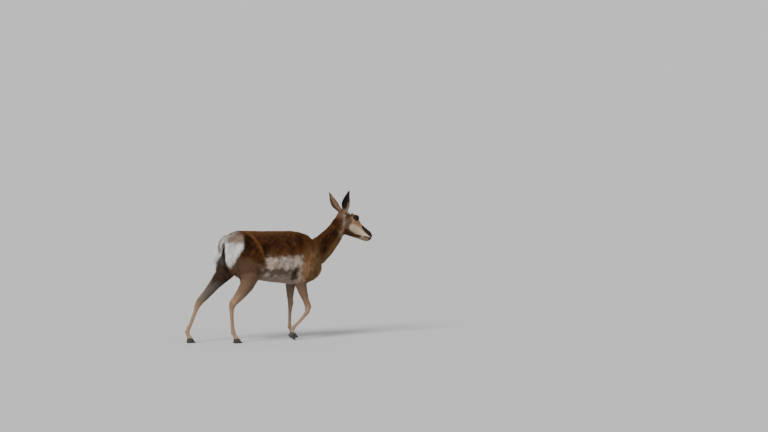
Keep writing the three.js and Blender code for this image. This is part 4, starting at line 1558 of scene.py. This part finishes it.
def map_tufts(mesh, roots, regions, per_tuft):
    """Lays each tuft on its own small patch of the OFBake map."""
    middle = bake_places(roots, regions)
    along = np.linspace(-0.5, 0.5, per_tuft)
    sideways = np.array([(-0.5, 0.5, 0.0)[k % 3] for k in range(per_tuft)])
    offset = np.stack([sideways, along], axis=1) * PATCH
    places = (middle[:, None, :] + offset[None]).reshape(-1, 2)
    corners = read(mesh, "loops", "vertex_index", 1, np.int32)
    layer = mesh.uv_layers.new(name="OFBake")
    layer.uv.foreach_set("vector", places[corners].astype(np.float32).ravel())


# Lashes and whiskers: single stiff hairs, placed by a tree of nodes on points that carry their way


# The tree's inputs and nodes, the values of their sockets, and the sockets that it joins, by name or number
HAIR_INPUTS = {
    "Points": "Geometry", "Radius": "Float", "Bend": "Float", "Unevenness": "Float", "Seed": "Int",
    "Material": "Material",
}
HAIR_NODES = {
    "given": "NodeGroupInput", "cone": "GeometryNodeMeshCone", "place": "GeometryNodeInputPosition",
    "split": "ShaderNodeSeparateXYZ", "square": "ShaderNodeMath", "bend": "ShaderNodeMath",
    "offset": "ShaderNodeCombineXYZ", "bent": "GeometryNodeSetPosition",
    "way": "GeometryNodeInputNamedAttribute", "length": "GeometryNodeInputNamedAttribute",
    "turn": "FunctionNodeAlignRotationToVector", "random": "FunctionNodeRandomValue",
    "shorter": "ShaderNodeMath", "longest": "ShaderNodeMath", "size": "ShaderNodeCombineXYZ",
    "stand": "GeometryNodeInstanceOnPoints", "realize": "GeometryNodeRealizeInstances",
    "paint": "GeometryNodeSetMaterial", "result": "NodeGroupOutput",
}
HAIR_MODES = {
    "square": ("operation", "MULTIPLY"), "bend": ("operation", "MULTIPLY"),
    "shorter": ("operation", "MULTIPLY_ADD"), "longest": ("operation", "MULTIPLY"),
    "way": ("data_type", "FLOAT_VECTOR"), "turn": ("axis", "Z"),
}
HAIR_VALUES = {
    "cone": {"Vertices": 4, "Side Segments": 3, "Radius Top": 0.12, "Radius Bottom": 1.0, "Depth": 1.0},
    "way": {"Name": "way"}, "length": {"Name": "length"}, "random": {"Max": 1.0}, "shorter": {2: 1.0},
}
HAIR_LINKS = (
    # The cone's own bend: its side offset grows with the square of the height
    ("place", "Position", "split", 0), ("split", "Z", "square", 0), ("split", "Z", "square", 1),
    ("square", 0, "bend", 0), ("given", "Bend", "bend", 1), ("bend", 0, "offset", "X"),
    ("cone", "Mesh", "bent", "Geometry"), ("offset", 0, "bent", "Offset"),
    # Its size: a radius, and a length that is shorter by chance
    ("given", "Seed", "random", "Seed"), ("random", "Value", "shorter", 0),
    ("given", "Unevenness", "shorter", 1), ("shorter", 0, "longest", 0),
    ("length", "Attribute", "longest", 1), ("given", "Radius", "size", "X"),
    ("given", "Radius", "size", "Y"), ("longest", 0, "size", "Z"),
    # A cone on each point, turned along its way
    ("way", "Attribute", "turn", "Vector"), ("given", "Points", "stand", "Points"),
    ("bent", "Geometry", "stand", "Instance"), ("turn", "Rotation", "stand", "Rotation"),
    ("size", 0, "stand", "Scale"), ("stand", "Instances", "realize", "Geometry"),
    ("realize", "Geometry", "paint", "Geometry"), ("given", "Material", "paint", "Material"),
    ("paint", "Geometry", "result", "Hairs"),
)


def hair_tree():
    """A tree that stands a bent cone on each point, along its way and as long as its length says."""
    tree = bpy.data.node_groups.new("stiff_hairs", "GeometryNodeTree")
    for name, kind in HAIR_INPUTS.items():
        tree.interface.new_socket(name, in_out="INPUT", socket_type=f"NodeSocket{kind}")
    tree.interface.new_socket("Hairs", in_out="OUTPUT", socket_type="NodeSocketGeometry")
    nodes = {name: tree.nodes.new(kind) for name, kind in HAIR_NODES.items()}
    for name, (key, value) in HAIR_MODES.items():
        setattr(nodes[name], key, value)
    for name, values in HAIR_VALUES.items():
        for socket, value in values.items():
            nodes[name].inputs[socket].default_value = value
    for start, output, end, socket in HAIR_LINKS:
        tree.links.new(nodes[start].outputs[output], nodes[end].inputs[socket])
    return tree


def lash_places(settings, eye_settings):
    """Roots, ways and lengths of the lashes along both upper lids."""
    places = []
    for side in SIDES:
        centre, radius, out, ahead, up = eye_frame(side)
        half_width = eye_settings.opening_width / 2 / radius
        upper = eye_settings.opening_height * UPPER_LID / radius
        for step in np.linspace(-0.88, 0.88, settings.lashes):
            across = step * half_width
            rise = upper * (1 - abs(step) ** LID_CURVE) ** LID_ROUNDING + 0.03
            way = ahead * across + up * rise + out * math.sqrt(max(0.0, 1 - across ** 2 - rise ** 2))
            root = centre + way * (radius + eye_settings.lid_thickness * 0.6)
            places.append((root, unit(out * 0.9 + up * 0.22 + ahead * (0.75 * step)), settings.lash_length))
    return places


def whisker_places(settings):
    """Roots, ways and lengths of the whiskers on lips and chin, on chosen places of the skin."""
    mesh = bpy.data.objects["skin"].data
    points, normals = points_of(mesh), normals_of(mesh)
    along, aside, height = head_places(points)
    gap, _ = mouth_distance(along, height)
    random = np.random.default_rng(settings.seed)
    fits = (np.abs(gap) < 0.022) & (np.abs(gap) > 0.004) & (along > 0.195) & (along < 0.262)
    fits &= np.abs(aside) > 0.006
    chosen = random.choice(np.nonzero(fits)[0], settings.whiskers, replace=False)
    droop = np.array([0.05, 0.0, -0.25])
    ways = unit(normals[chosen] + droop + random.normal(0, 0.12, (len(chosen), 3)))
    return [(points[index], way, settings.whisker_length) for index, way in zip(chosen, ways)]


def make_hairs(settings, eye_settings):
    """Lashes and whiskers, made from their roots by the tree of nodes."""
    places = lash_places(settings, eye_settings) + whisker_places(settings)
    roots, ways, lengths = (np.array(values) for values in zip(*places))
    mesh = bpy.data.meshes.new("hair_roots")
    mesh.vertices.add(len(roots))
    place_points(mesh, roots)
    write_field(mesh, "way", ways)
    write_field(mesh, "length", lengths)
    piece = linked("hairs", mesh)
    modifier = piece.modifiers.new("Hairs", "NODES")
    modifier.node_group = tree = hair_tree()
    values = {
        "Radius": settings.radius, "Bend": settings.bend, "Unevenness": -settings.unevenness,
        "Seed": settings.seed, "Material": material_of("stiff_hair", hair_look),
    }
    for item in tree.interface.items_tree:
        if item.in_out == "INPUT" and item.name in values:
            modifier[item.identifier] = values[item.name]
    applied(piece)
    piece.data.shade_smooth()
    per_hair = len(piece.data.vertices) // len(roots)
    map_tufts(piece.data, roots, ["head"], per_hair)
    return piece


# Materials


class Look:
    """A new material and short calls for the nodes that lead to its shader."""

    def __init__(self, name):
        self.material = bpy.data.materials.new(name)
        self.material.use_nodes = True
        self.tree = self.material.node_tree
        self.shader = self.tree.nodes["Principled BSDF"]
        self.place = self.tree.nodes.new("ShaderNodeTexCoord").outputs["Object"]

    def node(self, kind, values, links, **modes):
        """A node with its values, links from other sockets and modes."""
        node = self.tree.nodes.new(kind)
        for key, value in modes.items():
            setattr(node, key, value)
        for key, value in values.items():
            node.inputs[key].default_value = value
        for key, socket in links.items():
            self.tree.links.new(socket, node.inputs[key])
        return node.outputs

    def shaded(self, colour, **values):
        """Gives the shader its colour and its other values."""
        self.tree.links.new(colour, self.shader.inputs["Base Color"])
        for key, value in values.items():
            self.shader.inputs[key.replace("_", " ")].default_value = value

    def noise(self, scale, detail=3.0):
        values = {"Scale": scale, "Detail": detail}
        return self.node("ShaderNodeTexNoise", values, {"Vector": self.place})["Fac"]

    def ranged(self, value, low, high):
        return self.node("ShaderNodeMapRange", {"To Min": low, "To Max": high}, {"Value": value})["Result"]

    def tinted(self, colour, factor):
        """A colour times a number."""
        links = {0: colour, "Scale": factor}
        return self.node("ShaderNodeVectorMath", {}, links, operation="SCALE")["Vector"]

    def attribute(self, name, output="Color"):
        return self.node("ShaderNodeAttribute", {}, {}, attribute_name=name)[output]

    def bumped(self, height, strength, distance):
        values = {"Strength": strength, "Distance": distance}
        normal = self.node("ShaderNodeBump", values, {"Height": height})["Normal"]
        self.tree.links.new(normal, self.shader.inputs["Normal"])

    def roughened(self, roughness):
        self.tree.links.new(roughness, self.shader.inputs["Roughness"])


def material_of(name, painter, *values):
    """The material of a name, which its painter makes when it is first asked for."""
    material = bpy.data.materials.get(name)
    if material is None:
        look = Look(name)
        painter(look, *values)
        material = look.material
    return material


def coat_look(look):
    flecks = look.ranged(look.noise(420), 0.80, 1.22)
    look.shaded(look.tinted(look.attribute("Markings"), flecks), Roughness=0.66, Specular_IOR_Level=0.12)
    look.bumped(look.noise(1400, 2.0), 0.35, 0.0006)


def skin_look(look):
    flecks = look.ranged(look.noise(700, 4.0), 0.62, 1.25)
    look.shaded(look.tinted(look.attribute("Markings"), flecks), Specular_IOR_Level=0.20)
    look.roughened(look.ranged(look.attribute("bare", "Fac"), 0.78, 0.34))
    look.bumped(look.noise(1100, 4.0), 0.55, 0.0009)


def eye_look(look, iris):
    """Pupil, iris and dark rim by the field that make_eye stores."""
    ramp = look.tree.nodes.new("ShaderNodeValToRGB")
    pupil = (0.002, 0.002, 0.002)
    stops = (
        (0.0, pupil), (0.30, pupil), (0.36, tuple(iris)), (0.80, tuple(np.array(iris) * 1.7)),
        (0.90, (0.006, 0.004, 0.003)), (1.0, (0.010, 0.007, 0.005)),
    )
    for index, (place, value) in enumerate(stops):
        stop = ramp.color_ramp.elements[index] if index < 2 else ramp.color_ramp.elements.new(place)
        stop.position = place
        stop.color = (*value, 1)
    look.tree.links.new(look.attribute("iris", "Fac"), ramp.inputs["Fac"])
    streaks = look.ranged(look.noise(900, 3.0), 0.6, 1.5)
    colour = look.tinted(ramp.outputs["Color"], streaks)
    look.shaded(colour, Roughness=0.07, IOR=1.376, Specular_IOR_Level=0.20)


def hair_look(look):
    brown = look.tree.nodes.new("ShaderNodeRGB").outputs[0]
    brown.default_value = (0.022, 0.015, 0.011, 1)
    look.shaded(look.tinted(brown, look.ranged(look.noise(90), 0.6, 1.4)), Roughness=0.5)


def horn_look(look, dark, pale, scale):
    """Dark horn in fine level bands, with paler clouds."""
    values = {"Scale": scale, "Distortion": 2.5, "Detail": 3.0}
    bands = look.node("ShaderNodeTexWave", values, {"Vector": look.place}, bands_direction="Z")["Fac"]
    values = {"A": (*dark, 1), "B": (*pale, 1)}
    links = {"Factor": look.noise(35, 2.0)}
    clouds = look.node("ShaderNodeMix", values, links, data_type="RGBA")["Result"]
    toned = look.tinted(clouds, look.ranged(bands, 0.86, 1.10))
    look.shaded(look.tinted(toned, look.ranged(look.noise(60, 5.0), 0.6, 1.5)))
    look.roughened(look.ranged(look.noise(140, 3.0), 0.38, 0.65))
    look.bumped(bands, 0.10, 0.0004)


# Eyes, hooves and horn buds


# Rings and spokes of a ball, how far round from its front the cornea reaches, and how far it bulges
EYE_RINGS = 40
EYE_SPOKES = 64
CORNEA = 0.62
CORNEA_RISE = 0.075


def ball_triangles():
    """The closed surface of a ball, from its front pole over the rings to its rear pole."""
    last = 1 + (EYE_RINGS - 1) * EYE_SPOKES
    base = last - EYE_SPOKES
    triangles = []
    for spoke in range(EYE_SPOKES):
        after = (spoke + 1) % EYE_SPOKES
        triangles.append((0, 1 + spoke, 1 + after))
        for ring in range(EYE_RINGS - 2):
            a, b = 1 + ring * EYE_SPOKES + spoke, 1 + ring * EYE_SPOKES + after
            triangles += [(a, a + EYE_SPOKES, b + EYE_SPOKES), (a, b + EYE_SPOKES, b)]
        triangles.append((base + spoke, last, base + after))
    return triangles


def iris_value(angle, spin):
    """0 in the long level pupil and up to 1 at the rim of the iris and past it."""
    pupil = angle / CORNEA * math.hypot(math.cos(spin) * 0.62, math.sin(spin) * 1.25)
    return min(1.0, pupil * 0.72 if pupil < 0.5 else 0.36 + 0.5 * min(1.0, angle / CORNEA))


def make_eye(side, settings):
    """A ball with a bulging cornea over a dark iris and a long level pupil."""
    centre, radius, out, ahead, up = eye_frame(side)
    radius -= settings.clearance
    points, iris = [centre + out * radius * (1 + CORNEA_RISE)], [0.0]
    for angle in np.linspace(0, math.pi, EYE_RINGS + 1)[1:-1]:
        bulge = 1 + CORNEA_RISE * (1 - stepped(0.0, CORNEA, np.array(angle)))
        for spin in np.linspace(0, 2 * math.pi, EYE_SPOKES, endpoint=False):
            way = out * math.cos(angle) + (ahead * math.cos(spin) + up * math.sin(spin)) * math.sin(angle)
            points.append(centre + way * radius * float(bulge))
            iris.append(iris_value(angle, spin))
    points.append(centre - out * radius)
    iris.append(1.0)
    triangles = ball_triangles()
    if SIDES[side] > 0:
        triangles = [face[::-1] for face in triangles]
    mesh = mesh_from(f"ball_{side}", points, triangles)
    write_field(mesh, "iris", np.array(iris))
    dressed(mesh, "eye_ball", eye_look, settings.iris)
    return linked(f"ball_{side}", mesh)


# Hooves and buds: the cells that their solids are cut into, the spacing of their rings, and how far
# those rise and sink
HOOF_VOXEL = 0.0014
HOOF_RING = 0.0052
HOOF_RING_DEPTH = 0.00010
BUD_VOXEL = 0.0009
BUD_RIDGE = 0.0038
BUD_RIDGE_DEPTH = 0.00016
# The foot whose sole isn't kept flat, and the dark and pale colours of the horn
LIFTED_FOOT = "fore_right"
HOOF_COLOURS = (0.012, 0.010, 0.008), (0.036, 0.028, 0.021)
BUD_COLOURS = (0.026, 0.014, 0.008), (0.080, 0.044, 0.022)


def make_claws(foot):
    """The two claws of a foot, rounded from their solids, with growth rings round the wall."""
    nodes = [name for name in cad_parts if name.startswith(f"hoof_{foot}")]
    piece, mesh = remeshed(f"claws_{foot}", {name: 0.0 for name in nodes}, HOOF_VOXEL)
    points = points_of(mesh)
    sole = points[:, 2].min()
    # The sole of a foot that stands stays flat
    standing = 0.7 * stepped(0.0, 0.004, points[:, 2] - sole)
    strength = 0.6 if foot == LIFTED_FOOT else standing
    smooth = Net(mesh).smoothed(points, 14, np.broadcast_to(strength, len(points))).astype(float)
    smooth[:, 2] = np.maximum(smooth[:, 2], sole)
    place_points(mesh, smooth)
    normals = normals_of(mesh)
    wall = stepped(0.75, 0.35, np.abs(normals[:, 2])) * stepped(0.002, 0.006, smooth[:, 2] - sole)
    rings = np.sin(2 * math.pi * smooth[:, 2] / HOOF_RING + 2.2 * ripple(smooth, 0.02, 81))
    place_points(mesh, smooth + normals * (HOOF_RING_DEPTH * rings * wall)[:, None])
    dressed(mesh, "hoof_horn", horn_look, *HOOF_COLOURS, 60)
    return piece, nodes


def make_horn(side):
    """A small ridged horn bud, a little wider and deeper at its root."""
    node = f"horn_{side}"
    piece, mesh = remeshed(f"bud_{side}", {node: 0.0}, BUD_VOXEL)
    smooth = Net(mesh).smoothed(points_of(mesh), 10, 0.8).astype(float)
    place_points(mesh, smooth)
    normals = normals_of(mesh)
    low = smooth[:, 2].min()
    ridges = np.sin(2 * math.pi * (smooth[:, 2] - low) / BUD_RIDGE + 2.6 * ripple(smooth, 0.010, 91))
    smooth += normals * (BUD_RIDGE_DEPTH * ridges)[:, None]
    root = stepped(0.016, 0.004, smooth[:, 2] - low)
    middle = smooth.mean(0)
    smooth[:, :2] += (smooth[:, :2] - middle[:2]) * (0.22 * root)[:, None]
    smooth[:, 2] -= 0.005 * root
    place_points(mesh, smooth)
    dressed(mesh, "bud_horn", horn_look, *BUD_COLOURS, 90)
    return piece, node


# Operators


class PRONGHORN_OT_stage(bpy.types.Operator):
    """Makes the camera, the pale floor and the soft lights"""

    bl_idname = "pronghorn.stage"
    bl_label = "Stage"

    def execute(self, context):
        settings = context.scene.pronghorn_stage
        make_camera(settings)
        make_floor()
        make_lights()
        return {"FINISHED"}


class PRONGHORN_OT_skin(bpy.types.Operator):
    """Makes the one skin that stands for all the nodes of flesh"""

    bl_idname = "pronghorn.skin"
    bl_label = "Skin"

    def execute(self, context):
        piece = make_skin(context.scene.pronghorn_skin, context.scene.pronghorn_eye)
        dress_skin(piece.data, context.scene.pronghorn_eye)
        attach(piece, BODY)
        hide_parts(*[name for name in flesh_nodes() if not name.startswith("eye")])
        return {"FINISHED"}


class PRONGHORN_OT_eyes(bpy.types.Operator):
    """Makes the two eyeballs"""

    bl_idname = "pronghorn.eyes"
    bl_label = "Eyes"

    def execute(self, context):
        for side in SIDES:
            piece = make_eye(side, context.scene.pronghorn_eye)
            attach(piece, BODY)
            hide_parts(f"eye_{side}")
        return {"FINISHED"}


class PRONGHORN_OT_hooves(bpy.types.Operator):
    """Makes the claws of the four feet"""

    bl_idname = "pronghorn.hooves"
    bl_label = "Hooves"

    def execute(self, context):
        for foot in LEG_JOINTS:
            piece, nodes = make_claws(foot)
            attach(piece, BODY)
            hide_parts(*nodes)
        return {"FINISHED"}


class PRONGHORN_OT_horns(bpy.types.Operator):
    """Makes the two horn buds"""

    bl_idname = "pronghorn.horns"
    bl_label = "Horn buds"

    def execute(self, context):
        for side in SIDES:
            piece, node = make_horn(side)
            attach(piece, BODY)
            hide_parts(node)
        return {"FINISHED"}


class PRONGHORN_OT_hairs(bpy.types.Operator):
    """Sets the lashes and whiskers"""

    bl_idname = "pronghorn.hairs"
    bl_label = "Lashes and whiskers"

    def execute(self, context):
        piece = make_hairs(context.scene.pronghorn_hairs, context.scene.pronghorn_eye)
        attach(piece, BODY)
        return {"FINISHED"}


class PRONGHORN_OT_coat(bpy.types.Operator):
    """Grows the tufts of the coat, one piece for each part of the body"""

    bl_idname = "pronghorn.coat"
    bl_label = "Coat"

    def execute(self, context):
        for name in COAT_PIECES:
            piece = make_coat(name, context.scene.pronghorn_coat)
            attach(piece, BODY)
        return {"FINISHED"}


def dress_skin(mesh, settings):
    """Stores the regions, the coat's depth, the bare places and the markings on the finished skin."""
    points, normals = points_of(mesh), normals_of(mesh)
    weights = region_weights(points, Net(mesh), THINNED_ROUNDS).astype(float)
    for index, region in enumerate(REGION_NAMES):
        write_field(mesh, f"region_{region}", weights[:, index])
    write_field(mesh, "coat_depth", coat_depth(points, weights))
    along, _, height = head_places(points)
    nose = stepped(0.246, 0.256, along) * stepped(0.762, 0.770, height)
    gap, open_part = mouth_distance(along, height)
    bare = np.maximum(nose, 0.8 * bump((gap, 0.0022)) * open_part)
    for side in SIDES:
        _, past, near = eyelids(points, side, settings)
        bare = np.maximum(bare, near * stepped(0.20, 0.08, past))
    write_field(mesh, "bare", bare * on(weights, "head"))
    write_colour(mesh, markings(points, normals, weights))
    mesh.materials.clear()
    dressed(mesh, "skin_hide", skin_look)


# The floor, and how far the camera sees
FLOOR_SIZE = 400.0
VIEW_END = 1000.0
FLOOR_COLOUR = (0.405, 0.40, 0.395, 1)


def make_camera(settings):
    """A long lens that looks at the aim from the azimuth and elevation of the settings."""
    data = bpy.data.cameras.new("camera")
    data.lens = settings.lens
    camera = linked("camera", data)
    turn, rise = settings.azimuth, settings.elevation
    back = Vector((math.sin(turn) * math.cos(rise), -math.cos(turn) * math.cos(rise), math.sin(rise)))
    right = Vector((math.cos(turn), math.sin(turn), 0))
    up = back.cross(right)
    distance = settings.view_width * settings.lens / data.sensor_width
    camera.location = right * settings.aim_right + up * settings.aim_up + back * distance
    camera.rotation_euler = back.to_track_quat("Z", "Y").to_euler()
    data.clip_end = VIEW_END
    bpy.context.scene.camera = camera


def make_floor():
    half = FLOOR_SIZE / 2
    corners = [(-half, -half, 0), (half, -half, 0), (half, half, 0), (-half, half, 0)]
    mesh = bpy.data.meshes.new("floor")
    mesh.from_pydata(corners, [], [(0, 1, 2, 3)])
    floor = linked("floor", mesh)
    paint = bpy.data.materials.new("pale_floor")
    paint.use_nodes = True
    shader = paint.node_tree.nodes["Principled BSDF"]
    for name, value in {"Base Color": FLOOR_COLOUR, "Roughness": 0.9, "Specular IOR Level": 0.2}.items():
        shader.inputs[name].default_value = value
    mesh.materials.append(paint)


# The lights: the way to each, how wide it is and its strength. The sky fills the shadows.
LIGHTS = {
    "key": ((-0.68, -0.32, 0.70), math.radians(24), 5.0),
    "fill": ((0.60, -0.70, 0.50), math.radians(60), 0.40),
}
LIGHT_DISTANCE = 6
WORLD_COLOUR = (0.98, 0.985, 1.0, 1)
WORLD_STRENGTH = 0.70


def make_lights():
    for name, (way, angle, strength) in LIGHTS.items():
        data = bpy.data.lights.new(name, "SUN")
        data.angle = angle
        data.energy = strength
        light = linked(name, data)
        light.location = Vector(way) * LIGHT_DISTANCE
        light.rotation_euler = Vector(way).to_track_quat("Z", "Y").to_euler()
    world = bpy.data.worlds.new("studio")
    world.use_nodes = True
    sky = world.node_tree.nodes["Background"]
    sky.inputs["Color"].default_value = WORLD_COLOUR
    sky.inputs["Strength"].default_value = WORLD_STRENGTH
    bpy.context.scene.world = world


class PRONGHORN_PT_panel(bpy.types.Panel):
    bl_label = "Pronghorn"
    bl_idname = "PRONGHORN_PT_panel"
    bl_space_type = "VIEW_3D"
    bl_region_type = "UI"
    bl_category = "Pronghorn"

    def draw(self, context):
        for operator in STEPS:
            self.layout.operator(operator.bl_idname)


SETTINGS = {
    "pronghorn_stage": StageSettings,
    "pronghorn_skin": SkinSettings,
    "pronghorn_eye": EyeSettings,
    "pronghorn_markings": MarkingSettings,
    "pronghorn_coat": CoatSettings,
    "pronghorn_hairs": HairSettings,
}
STEPS = (
    PRONGHORN_OT_stage,
    PRONGHORN_OT_skin,
    PRONGHORN_OT_eyes,
    PRONGHORN_OT_hooves,
    PRONGHORN_OT_horns,
    PRONGHORN_OT_coat,
    PRONGHORN_OT_hairs,
)


def register():
    for group in SETTINGS.values():
        bpy.utils.register_class(group)
    for name, group in SETTINGS.items():
        setattr(bpy.types.Scene, name, PointerProperty(type=group))
    for item in (*STEPS, PRONGHORN_PT_panel):
        bpy.utils.register_class(item)


def unregister():
    for item in (PRONGHORN_PT_panel, *reversed(STEPS)):
        bpy.utils.unregister_class(item)
    for name, group in SETTINGS.items():
        delattr(bpy.types.Scene, name)
        bpy.utils.unregister_class(group)


def main():
    register()
    for operator in STEPS:
        group, name = operator.bl_idname.split(".")
        getattr(getattr(bpy.ops, group), name)()


if __name__ == "__main__":
    main()
